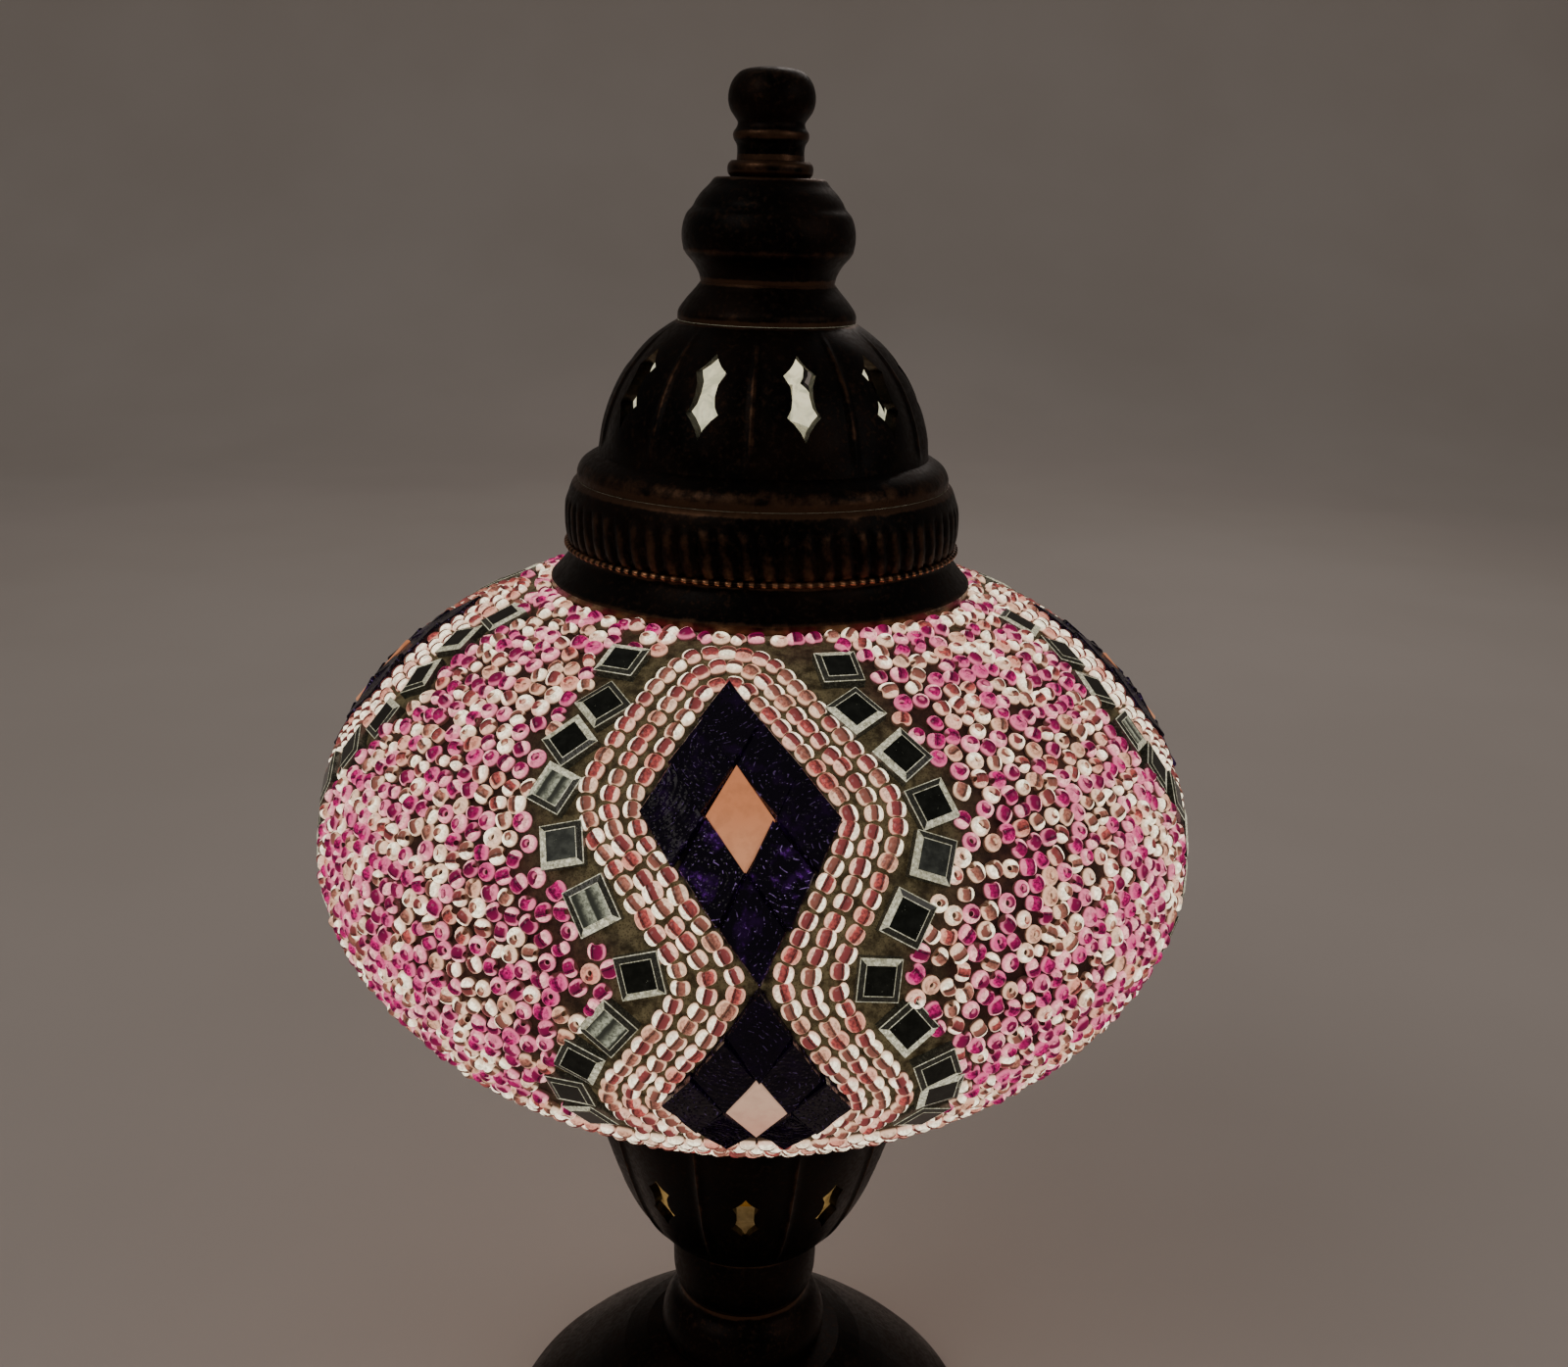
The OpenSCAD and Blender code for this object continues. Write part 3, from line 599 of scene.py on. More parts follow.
def bead_piece(name, centres, axes, normals, sizes, rnds, sides, material, nodes):
    """One mesh of many beads: hole axes and surface normals are unit vectors, sizes scale the bead across and along."""
    c, a, n = (np.asarray(x, float) for x in (centres, axes, normals))
    m = len(c)
    b1 = n - (n * a).sum(1)[:, None] * a
    weak = np.linalg.norm(b1, axis=1) < 0.2
    other = np.cross(a, np.array([0.31, 0.17, 0.93]))
    b1[weak] = other[weak]
    b1 /= np.linalg.norm(b1, axis=1)[:, None]
    b2 = np.cross(a, b1)
    spin = rng.uniform(0, 2 * math.pi, m)[:, None]
    c1, c2 = np.cos(spin) * b1 + np.sin(spin) * b2, -np.sin(spin) * b1 + np.cos(spin) * b2
    basis = np.stack([c1, c2, a], 1)
    local = BV[None] * np.stack([sizes[:, 0], sizes[:, 0], sizes[:, 1]], -1)[:, None, :]
    # a slightly uneven end on each bead
    slant = rng.normal(0, 0.05, (m, 2))
    local[:, :, 2] += (local[:, :, 0] * slant[:, :1] + local[:, :, 1] * slant[:, 1:])
    rel = np.einsum("mvk,mkx->mvx", local, basis)
    verts = (c[:, None] + rel).reshape(-1, 3)
    flat = a - (a * n).sum(1)[:, None] * n
    length = np.linalg.norm(flat, axis=1)
    ud = np.where(length[:, None] > 0.05, flat / np.maximum(length, 1e-6)[:, None], b1)
    ud -= (ud * n).sum(1)[:, None] * n
    ud /= np.linalg.norm(ud, axis=1)[:, None]
    vd = np.cross(n, ud)
    u = np.einsum("mvx,mx->mv", rel, ud)
    v = np.einsum("mvx,mx->mv", rel, vd)
    h = np.einsum("mvx,mx->mv", rel, n) / 2.0
    w = np.repeat((np.maximum(length - 0.25, 0) * 1.5 * sizes[:, 1])[:, None], len(BV), 1)
    one = np.ones((1, len(BV)))
    bead = np.stack([u, v, w], -1).reshape(-1, 3)
    mixv = np.stack([rnds[:, None] * one, h, sides[:, None] * one], -1).reshape(-1, 3)
    quads = (BQ[None] + (np.arange(m) * len(BV))[:, None, None]).reshape(-1, 4)
    cols = int(math.ceil(math.sqrt(m)))
    cell = np.stack([np.arange(m) % cols, np.arange(m) // cols], -1) / cols
    uv = (cell[:, None, None, :] + (0.04 + 0.92 * BUV[None]) / cols).reshape(-1, 2)
    ob = make(name, verts, quads, uv=uv, mats=(material,), attrs={"bead": ("FLOAT_VECTOR", bead), "bead_mix": ("FLOAT_VECTOR", mixv)})
    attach(ob, "globe")
    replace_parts(ob, *nodes)
    return ob


def strings(curve, pitch, start=0.0):
    """Evenly spaced places on a line of (phi, s) points, by distance over the surface."""
    p = surf(curve[:, 0], curve[:, 1], 2.1)[0]
    d = np.concatenate([[0], np.cumsum(np.linalg.norm(np.diff(p, axis=0), axis=1))])
    n = int((d[-1] - start) / pitch)
    at = start + (d[-1] - start - (n - 1) * pitch) / 2 + np.arange(n) * pitch if n else np.zeros(0)
    at = at + rng.normal(0, 0.09, n)
    return np.interp(at, d, curve[:, 0]), np.interp(at, d, curve[:, 1])


def row_beads(curve, pitch=3.38):
    """Strung beads along a line: centres, hole axes, normals."""
    phi, s = strings(curve, pitch)
    if len(phi) < 2:
        return None
    s = s + rng.normal(0, 0.12, len(s))
    e = 1e-3
    c = surf(phi, s, 2.15)[0]
    n = surf(phi, s, 2.15)[3]
    a = np.gradient(c, axis=0)
    a -= (a * n).sum(1)[:, None] * n
    a /= np.linalg.norm(a, axis=1)[:, None]
    side = np.cross(n, a)
    a = a + side * rng.normal(0, 0.10, len(a))[:, None] + n * rng.normal(0, 0.05, len(a))[:, None]
    a /= np.linalg.norm(a, axis=1)[:, None]
    return c + n * rng.normal(0, 0.06, len(a))[:, None], a, n


def outline_curve(offset, s_low):
    """The medallion's stacked rhombs offset outwards by some mm, as (x, s) points from lower left over the top to lower right."""
    pts = [(-HALF_W * (1 - max(0.0, (WAIST - HALF_H - s_low)) / HALF_H), s_low), (-HALF_W, WAIST - HALF_H), (0, WAIST), (-HALF_W * GROW, WAIST + HALF_H * GROW), (0, APEX)]
    pts = pts + [(-x, s) for x, s in pts[-2::-1]]
    pts = np.array(pts, float)
    fine = []
    for a, b in zip(pts[:-1], pts[1:]):
        n = max(2, int(np.linalg.norm(b - a) / 0.4))
        fine.append(a + (b - a) * np.linspace(0, 1, n, endpoint=False)[:, None])
    fine = np.vstack(fine + [pts[-1:]])
    # the iso line of the distance to the outline, traced on a grid from side to side
    left = fine[: len(fine) // 2 + 1]
    out = []
    levels = np.arange(s_low, APEX + offset - 0.01, 0.5)
    for s in levels:
        lo, hi = 0.0, 60.0
        for _ in range(26):
            x = (lo + hi) / 2
            d = np.min(np.hypot(fine[:, 0] + x, fine[:, 1] - s))
            inside = x < half_out(s)
            if inside or d < offset:
                lo = x
            else:
                hi = x
        out.append((-(lo + hi) / 2, s))
    out = np.array(out)
    top = np.array([(0.0, APEX + offset)])
    whole = np.vstack([out, top, out[::-1] * np.array([-1, 1])])
    for _ in range(40):
        whole[1:-1] = (whole[:-2] + 2 * whole[1:-1] + whole[2:]) / 4
    d = np.concatenate([[0], np.cumsum(np.linalg.norm(np.diff(whole, axis=0), axis=1))])
    t = np.arange(0, d[-1], 0.4)
    whole = np.stack([np.interp(t, d, whole[:, 0]), np.interp(t, d, whole[:, 1])], -1)
    for _ in range(30):
        whole[1:-1] = (whole[:-2] + 2 * whole[1:-1] + whole[2:]) / 4
    return whole


def half_out(s):
    g = grow(s)
    u = abs(s - WAIST) / g
    if s < WAIST - 2 * HALF_H or u > 2 * HALF_H:
        return 0.0
    return g * HALF_W * (u / HALF_H if u < HALF_H else 2 - u / HALF_H)


def square_x(s):
    u = np.abs(np.asarray(s, float) - WAIST)
    return 20.6 + 14.35 * np.sin(np.minimum(u / HALF_H, 2) * math.pi / 2).clip(0, 1) ** 1.3


S_FOOT = -36.4
ROWS = (2.3, 6.45, 10.65)
row_x = [outline_curve(o, S_FOOT + 1.6) for o in ROWS]
row_sets = {"rose": [[] for _ in range(4)], "pale": [[] for _ in range(4)]}
for q in range(4):
    for line in row_x:
        x = line[:, 0] + lean(q, line[:, 1])
        made = row_beads(np.stack([q * math.pi / 2 + x / r_of(line[:, 1]), line[:, 1]], -1))
        pick = rng.random(len(made[0])) < 0.62
        for key, sel in (("rose", pick), ("pale", ~pick)):
            row_sets[key][q].append([m[sel] for m in made])

# rows round the foot of the globe
foot_sets = {"rose": [[] for _ in range(4)], "pale": [[] for _ in range(4)]}
foot_s = np.arange(-83.0 + 2.0, S_FOOT - 1.0, 4.12)
for i, s in enumerate(foot_s):
    turn = rng.uniform(0, 2 * math.pi)
    circ = 2 * math.pi * float(r_of(s) - 2.15)
    count = int(circ / 3.34)
    phi = turn + np.arange(count) * 2 * math.pi / count + rng.normal(0, 0.08, count) / float(r_of(s))
    c, east, up, n = surf(phi, np.full(count, s) + rng.normal(0, 0.12, count), 2.15)
    a = east + up * rng.normal(0, 0.09, count)[:, None] + n * rng.normal(0, 0.05, count)[:, None]
    a /= np.linalg.norm(a, axis=1)[:, None]
    q = np.floor(((phi + math.pi / 4) % (2 * math.pi)) / (math.pi / 2)).astype(int) % 4
    pick = rng.random(count) < 0.55
    for w in range(4):
        for key, sel in (("rose", pick), ("pale", ~pick)):
            foot_sets[key][w].append([m[(q == w) & sel] for m in (c, a, n)])


def flank(c, a, n, q):
    """Which way each bead's band leans: towards the middle of its medallion."""
    flat = a - (a * n).sum(1)[:, None] * n
    side = np.cross(n, flat)
    out = np.array([math.cos(q * math.pi / 2), math.sin(q * math.pi / 2), 0.0])
    x = (c * out).sum(1)
    toward = -np.sign(x)[:, None] * out
    sign = np.sign((side * toward).sum(1) + 1e-9)
    return sign * np.where(rng.random(len(c)) < 0.1, -1.0, 1.0)


def emit_rows(sets, label, nodes):
    for key, groups in sets.items():
        for q, parts in enumerate(groups):
            c, a, n = (np.vstack([p[i] for p in parts]) for i in range(3))
            m = len(c)
            sizes = np.stack([rng.normal(0.925, 0.045, m).clip(0.82, 1.0), rng.normal(1.01, 0.07, m).clip(0.85, 1.12)], -1)
            bead_piece(f"{label}_{key}_{q + 1}", c, a, n, sizes, rng.random(m), flank(c, a, n, q), BEADS[key], nodes)


emit_rows(row_sets, "border_row", ("border_beads",))
emit_rows(foot_sets, "foot_row", ("foot_ring_beads",))

# ---------------------------------------------------------------- mirror squares
SQUARE = 8.1
square_places = []
for q in range(4):
    for i in range(-4, 7):
        for m in (-1, 1):
            s = WAIST + i * (10.3 if i > 0 else 9.6) + rng.normal(0, 0.5)
            x = m * (float(square_x(s)) + rng.normal(0, 0.35)) + float(lean(q, s))
            slope = m * math.atan2(float(square_x(s + 1) - square_x(s - 1)), 2.0)
            square_places.append((q, x, s, -slope + math.radians(rng.normal(0, 4.0))))


def tile_frame(phi, s, d, turn):
    p, east, up, n = (v.reshape(3) for v in surf(phi, s, d))
    c, k = math.cos(turn), math.sin(turn)
    return p, c * east + k * up, -k * east + c * up, n


def square_tile():
    """A ground mirror square: flat silvered middle, fine ground lines, sloped edges and straight sides. Kinds: 0 face, 1 line, 2 to 5 the four slopes, 6 sides."""
    h = 0.5
    rings = [(h * 0.40, 2.3), (h * 0.68, 2.3), (h * 0.715, 2.27), (h * 0.955, 2.0), (h * 0.995, 1.92), (h, 1.86), (h, 0.12), (h * 0.98, 0.0)]
    kinds = [0, 1, 2, 1, 6, 6, 6]
    n = 6
    ring = []
    a = (np.array([1.0, 1.0]), np.array([-1.0, 1.0]), np.array([-1.0, -1.0]), np.array([1.0, -1.0]))
    for k in range(4):
        p, r = a[k], a[(k + 1) % 4]
        ring += [p + (r - p) * t / n for t in range(n)]
    ring = np.array(ring)
    m = len(ring)
    verts, quads, mats = [], [], []
    for sz, z in rings:
        verts += [(x * sz * SQUARE, y * sz * SQUARE, z) for x, y in ring]
    for i in range(len(rings) - 1):
        for j in range(m):
            quads.append((i * m + j, (i + 1) * m + j, (i + 1) * m + (j + 1) % m, i * m + (j + 1) % m))
            mats.append(kinds[i] + (j // n if kinds[i] == 2 else 0))
    top, bottom = len(verts), len(verts) + 1
    verts += [(0, 0, 2.3), (0, 0, 0)]
    last = (len(rings) - 1) * m
    for j in range(m):
        quads.append((top, j, (j + 1) % m, -1))
        mats.append(0)
        quads.append((bottom, last + (j + 1) % m, last + j, -1))
        mats.append(6)
    return np.array(verts, float), np.array(quads), np.array(mats)


SV, SQ, SM = square_tile()
verts, quads, mats, tile_at, glow_at = [], [], [], [], []
count = 0
for q, x, s, turn in square_places:
    phi = q * math.pi / 2 + x / float(r_of(s))
    p, ex, ey, n = tile_frame(phi, s, 2.75 + rng.normal(0, 0.1), turn)
    tip = rng.normal(0, 0.03, 2)
    n2 = n + ex * tip[0] + ey * tip[1]
    n2 /= np.linalg.norm(n2)
    local = SV * np.array([rng.normal(1, 0.03), rng.normal(1, 0.03), 1.0])
    verts.append(p + local[:, :1] * ex + local[:, 1:2] * ey + local[:, 2:] * n2)
    quads.append(np.where(SQ >= 0, SQ + count, -1))
    # painted light: one slope, sometimes two, takes the bright copy as the side the light falls on; the other slopes
    # and the sides take the dim copy
    lit_side = rng.integers(0, 4)
    second = rng.random() < 0.45
    kind = np.zeros(len(SM), int)
    kind[SM == 1] = 1
    for k4 in range(4):
        kind[SM == 2 + k4] = 1 if k4 == lit_side or (second and k4 == (lit_side + 1) % 4) else 2
    kind[SM == 6] = 2
    # painted light: some squares get the streaked face
    if rng.random() < 0.14:
        kind[SM == 0] = 3
    mats.append(kind)
    tile_at.append(local + np.array([x, s, 0]))
    # the painted glow differs at random from square to square
    glow_at.append(np.full(len(SV), 0.75 + 0.5 * rng.random()))
    count += len(SV)
ob = make("mirror_square_set", np.vstack(verts), np.vstack(quads), smooth=False, mats=(MIRROR, BEVEL_PAINTED_HIGHLIGHT, SLOPE_PAINTED_SHADE, STREAK_PAINTED_LIGHT), index=np.concatenate(mats),
          attrs={"tile": ("FLOAT_VECTOR", np.vstack(tile_at)), "glow": ("FLOAT", np.concatenate(glow_at))})
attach(ob, "globe"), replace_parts(ob, "mirror_squares"), ob

# ---------------------------------------------------------------- cut rhombs
GRID = [(0, 2), (-0.5, 1), (0.5, 1), (-1, 0), (1, 0), (-0.5, -1), (0.5, -1), (0, -2)]


def rhomb_tile(hw, hh, n=14, hammer=0.0, thick=2.3, chip=0.0):
    """A cut rhomb with a hammered or flat face, a fine arris, straight sides and a flat back."""
    corners = np.array([(0, hh), (-hw, 0), (0, -hh), (hw, 0)], float)
    corners = corners + rng.normal(0, chip, corners.shape)
    g = np.linspace(0, 1, n + 1)
    a, b = np.meshgrid(g, g, indexing="ij")
    pt = lambda c: ((1 - a)[..., None] * (1 - b)[..., None] * c[0] + a[..., None] * (1 - b)[..., None] * c[1]
                    + a[..., None] * b[..., None] * c[2] + (1 - a)[..., None] * b[..., None] * c[3])
    face = pt(corners * 0.955)
    z = np.full(a.shape, thick)
    if hammer:
        bumps = rng.random((24, 2))
        spots = pt(corners)[0, 0] * 0 + (1 - bumps[:, :1]) * (1 - bumps[:, 1:]) * corners[0] + bumps[:, :1] * (1 - bumps[:, 1:]) * corners[1] \
            + bumps[:, :1] * bumps[:, 1:] * corners[2] + (1 - bumps[:, :1]) * bumps[:, 1:] * corners[3]
        for c, w in zip(spots, rng.uniform(0.7, 1.5, 24)):
            z -= hammer * np.exp(-((face - c) ** 2).sum(-1) / (w * w))
    z = np.maximum(z, thick - 0.3)
    verts = [np.concatenate([face, z[..., None]], -1).reshape(-1, 3)]
    quads, m = [], n + 1
    for i in range(n):
        for j in range(n):
            quads.append((i * m + j, (i + 1) * m + j, (i + 1) * m + j + 1, i * m + j + 1))
    edge = [(0, j) for j in range(n)] + [(i, n) for i in range(n)] + [(n, j) for j in range(n, 0, -1)] + [(i, 0) for i in range(n, 0, -1)]
    edge = edge[::-1]
    top = [i * m + j for i, j in edge]
    full = pt(corners)
    base = len(verts[0])
    ring1 = np.array([(*full[i, j], z[i, j] - 0.28) for i, j in edge])
    ring2 = np.array([(*full[i, j], 0.0) for i, j in edge])
    verts += [ring1, ring2, np.zeros((1, 3))]
    k = len(edge)
    for t in range(k):
        t2 = (t + 1) % k
        quads.append((top[t], top[t2], base + t2, base + t))
        quads.append((base + t, base + t2, base + k + t2, base + k + t))
        quads.append((base + k + t, base + k + t2, base + 2 * k, -1))
    v = np.vstack(verts)
    q = np.array(quads)
    # make sure that the face looks outwards
    f = v[q[0][:3]]
    if np.cross(f[1] - f[0], f[2] - f[0])[2] < 0:
        q = np.where(q[:, 3:] >= 0, q[:, ::-1], np.concatenate([q[:, 2::-1], q[:, 3:]], 1))
    return v, q


def tiles(name, places, material, node, hammer):
    verts, quads, tile_at, glow_at, count = [], [], [], [], 0
    for q, x, s, glow in places:
        g = grow(s) * (1.0 if hammer else 1.02)
        v, f = rhomb_tile((RHOMB_W * 0.5 - 0.22) * g, (RHOMB_H * 0.5 - 0.36) * g, hammer=hammer, chip=0.10 if hammer else 0.04)
        phi = q * math.pi / 2 + (x + float(lean(q, s))) / float(r_of(s))
        # the tile is cut askew to follow the leaning medallion
        v[:, 0] += lean(q, s + v[:, 1]) - float(lean(q, s))
        p, ex, ey, n = tile_frame(phi, s, 2.8 + rng.normal(0, 0.06), math.radians(rng.normal(0, 0.5)))
        tip = rng.normal(0, 0.012, 2)
        n2 = n + ex * tip[0] + ey * tip[1]
        n2 /= np.linalg.norm(n2)
        verts.append(p + v[:, :1] * ex + v[:, 1:2] * ey + v[:, 2:] * n2)
        quads.append(np.where(f >= 0, f + count, -1))
        shift = rng.uniform(-7, 7, 2) if hammer else (0, 0)
        tile_at.append(v + np.array([shift[0], shift[1], 0]))
        glow_at.append(np.full(len(v), glow))
        count += len(v)
    ob = make(name, np.vstack(verts), np.vstack(quads), mats=(material,),
              attrs={"tile": ("FLOAT_VECTOR", np.vstack(tile_at)), "glow": ("FLOAT", np.concatenate(glow_at))})
    sharpen(ob, 35)
    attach(ob, "globe"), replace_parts(ob, node), ob


purple_at, peach_at = [], []
for q in range(4):
    for g in GRID:
        # painted light: how strongly each tile glows; in the upper medallion most in its lower rows, in the lower
        # medallion barely; the lower peach rhomb is painted paler
        painted_glow_level = {-1: 0.95, -2: 0.45}.get(g[1], 0.22) * rng.uniform(0.8, 1.1)
        purple_at.append((q, g[0] * RHOMB_W * GROW, WAIST + (HALF_H + g[1] * RHOMB_H / 2) * GROW, min(1, painted_glow_level)))
        if g[1] > -2:
            purple_at.append((q, g[0] * RHOMB_W, WAIST - HALF_H + g[1] * RHOMB_H / 2, 0.05))
    peach_at += [(q, 0, WAIST + HALF_H * GROW, 0.0), (q, 0, WAIST - HALF_H, 1.0)]
tiles("purple_rhomb_set", purple_at, PURPLE, "purple_rhombs", 0.10)
tiles("peach_rhomb_set", peach_at, PEACH, "peach_rhombs", 0.0)

# ---------------------------------------------------------------- field beads


def relax(points, fixed, d, allowed, rounds):
    """Pushes points apart over the surface until they are about d apart, inside the allowed area."""
    phi, s = points[:, 0].copy(), points[:, 1].copy()
    for k in range(rounds):
        c, east, up, n = surf(phi, s, 2.1)
        tree = KDTree(len(c))
        for i, p in enumerate(c):
            tree.insert(p, i)
        tree.balance()
        push = np.zeros_like(c)
        for i, p in enumerate(c):
            for co, j, dist in tree.find_n(p, 7):
                if j != i and dist < d:
                    away = p - np.array(co)
                    push[i] += away / max(dist, 1e-3) * (d - dist) * 0.42
        dx, ds = (push * east).sum(1), (push * up).sum(1)
        p2, s2 = phi + dx / r_of(s), s + ds
        ok = allowed(p2, s2)
        only_s = ~ok & allowed(phi, s2)
        only_p = ~ok & ~only_s & allowed(p2, s)
        phi = np.where(ok | only_p, p2, phi)
        s = np.where(ok | only_s, s2, s)
    return np.stack([phi, s], -1)


S_CAP = 80.6


def field_allowed(phi, s):
    rel = (phi + math.pi / 4) % (math.pi / 2) - math.pi / 4
    q = np.floor(((phi + math.pi / 4) % (2 * math.pi)) / (math.pi / 2)).astype(int) % 4
    shift = np.zeros_like(rel)
    for w in range(4):
        shift = np.where(q == w, lean(w, s), shift)
    x = rel * r_of(s) - shift
    edge = square_x(np.clip(s, WAIST - 4.35 * 9.6, WAIST + 6.35 * 9.6)) + SQUARE / 2 + 1.3
    # above the topmost squares the field closes over the strung rows
    round_apex = np.sqrt(np.clip((ROWS[2] + 3.6) ** 2 - (s - APEX) ** 2, 0, None))
    edge = np.where(s > WAIST + 6 * 10.3 + 4.6, round_apex, edge)
    return (np.abs(x) > edge) & (s > S_FOOT + 1.2) & (s < S_CAP)


SPACING = 3.72
pts = []
for s in np.arange(S_FOOT + 2.2, S_CAP, 3.36):
    count = int(2 * math.pi * float(r_of(s) - 2.1) / 3.78)
    ph = rng.uniform(0, 2 * math.pi) + np.arange(count) * 2 * math.pi / count + rng.normal(0, 0.9, count) / float(r_of(s))
    at_s = s + rng.normal(0, 0.8, count)
    keep = field_allowed(ph, at_s) & (rng.random(count) > 0.05)
    pts.extend(np.stack([ph[keep], at_s[keep]], -1).tolist())
pts = relax(np.array(pts), None, SPACING, field_allowed, 14)
# one more round of beads just under the cap's rim
pts = np.vstack([pts, np.stack([(np.arange(83) + rng.normal(0, 0.11, 83)) * 2 * math.pi / 83, 82.75 + rng.normal(0, 0.30, 83).clip(-0.6, 0.45)], -1)])
c, east, up, n = surf(pts[:, 0], pts[:, 1], 2.1)
m = len(pts)
c = c + n * rng.normal(0, 0.16, m).clip(-0.35, 0.3)[:, None]
turn = rng.uniform(0, math.pi, m)
flat = np.cos(turn)[:, None] * east + np.sin(turn)[:, None] * up
rise = np.where(rng.random(m) < 0.36, rng.uniform(math.radians(62), math.radians(90), m), rng.uniform(0, math.radians(30), m))
axes = np.cos(rise)[:, None] * flat + np.sin(rise)[:, None] * n
sizes = np.stack([rng.normal(0.90, 0.055, m).clip(0.78, 1.0), rng.normal(0.95, 0.10, m).clip(0.72, 1.15)], -1)
kinds = rng.random(m)
sector = np.floor(((pts[:, 0]) % (2 * math.pi)) / (math.pi / 2)).astype(int) % 4
for w in range(4):
    for key, sel in (("magenta", kinds < 0.54), ("pale", (kinds >= 0.54) & (kinds < 0.84)), ("rose", kinds >= 0.84)):
        pick = sel & (sector == w)
        bead_piece(f"field_{key}_{w + 1}", c[pick], axes[pick], n[pick], sizes[pick], rng.random(pick.sum()),
                   rng.choice([-1.0, 1.0], pick.sum()), BEADS[key], ("field_beads",))
print("field beads", m, "rows", sum(len(p[0]) for g in row_sets.values() for q in g for p in q), "foot", sum(len(p[0]) for g in foot_sets.values() for q in g for p in q))

# ---------------------------------------------------------------- grout
n_s, n_p = 132, 264
s_line = np.linspace(-83.3, 83.5, n_s)
ph = np.arange(n_p) * 2 * math.pi / n_p
PH, SS = np.meshgrid(ph, s_line)
lump = rng.normal(0, 1, (n_s, n_p))
for _ in range(2):
    lump = (lump + np.roll(lump, 1, 1) + np.roll(lump, -1, 1) + np.vstack([lump[:1], lump[:-1]]) + np.vstack([lump[1:], lump[-1:]])) / 5
outer = surf(PH, SS, 2.35)[0] + surf(PH, SS)[3] * np.clip(lump * 0.55, -0.35, 0.35)[..., None]
inner_s = np.linspace(83.5, -83.3, 34)
inner = surf(*np.meshgrid(ph, inner_s), 4.34)[0]
verts = np.vstack([outer.reshape(-1, 3), inner.reshape(-1, 3)])
rows = n_s + 34
ii, jj = np.meshgrid(np.arange(rows), np.arange(n_p), indexing="ij")
i2, j2 = (ii + 1) % rows, (jj + 1) % n_p
quads = np.stack([ii * n_p + jj, ii * n_p + j2, i2 * n_p + j2, i2 * n_p + jj], -1).reshape(-1, 4)
away = field_allowed(np.concatenate([PH.ravel(), np.zeros(34 * n_p)]), np.concatenate([SS.ravel(), np.full(34 * n_p, -80.0)])).astype(float)
away[:PH.size] = ((lambda g: sum(np.roll(np.roll(g, i, 0), j, 1) for i in (-2, -1, 0, 1, 2) for j in (-3, -1, 0, 1, 3)) / 25)(away[:PH.size].reshape(PH.shape))).ravel()
rel = (PH.ravel() + math.pi / 4) % (math.pi / 2) - math.pi / 4
which = np.floor(((PH.ravel() + math.pi / 4) % (2 * math.pi)) / (math.pi / 2)).astype(int) % 4
off = sum(np.where(which == w, lean(w, SS.ravel()), 0) for w in range(4))
inner_x = np.array([half_out(v) for v in s_line]).repeat(n_p) + np.where(np.abs(SS.ravel() - WAIST) > 2 * HALF_H * GROW, -9, 0.5)
ink = np.zeros(len(verts))
ink[:PH.size] = np.abs(rel * r_of(SS.ravel()) - off) < inner_x
ob = make("grout_skin", verts, quads, mats=(GROUT,), attrs={"wine": ("FLOAT", away), "ink": ("FLOAT", ink)})
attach(ob, "globe"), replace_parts(ob, "grout_layer"), ob

# ---------------------------------------------------------------- cast metalwork


def cast_piece(name, outer, inner, node, body, segs=160, corners=(), step=0.5, shape=None, mats=None, inner_mat=None, in_corners=None):
    """A turned casting from its outer line and its inner line, both from the CAD profile."""
    o = curve_points(outer, step, corners)
    i = np.asarray(inner, float) if in_corners is None else curve_points(inner, step * 1.5, in_corners)
    profile = np.vstack([o, i])
    # w: inside lines carry no worn copper edge and no painted edge highlight
    wear_and_highlight = wear_and_highlight_of(profile)
    wear_and_highlight[len(o):] = 0.3
    mats = mats or (BRONZE,)
    inside = None
    if inner_mat is not None:
        inside = np.zeros(len(profile))
        inside[len(o) - 1:] = 1
        mats = (*mats, inner_mat)
    ob = lathe(name, profile, segs, mats, shape=shape, inner=inside, wear_and_highlight=wear_and_highlight)
    sharpen(ob, 40)
    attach(ob, body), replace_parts(ob, node), ob
    return ob


def fade(z, a, b):
    t = np.clip((z - a) / (b - a), 0, 1)
    return t * t * (3 - 2 * t)


cast_piece("stem_bulge_body", [(19.2, 34.02), (20.1, 35.6), (20.4, 38), (19.9, 41), (18.4, 44), (16.4, 46.4), (16, 48.5)],
           [(5.15, 48.5), (5.15, 46.2), (14.2, 46.2), (16.4, 43), (18.1, 40.2), (18.4, 38), (17.9, 36), (17.2, 34.02)], "stem_bulge", "base", 144)
cast_piece("stem_collar_body", [(15.9, 48.52), (16.9, 50.2), (17.5, 53), (17.7, 56.4), (17.6, 60), (17.1, 62.8), (16.6, 64.3)],
           [(5.15, 64.3), (5.15, 61.8), (14.8, 61.8), (15.6, 57), (15.5, 53.4), (14.8, 50.8), (14.2, 48.52)], "stem_collar", "base", 144)


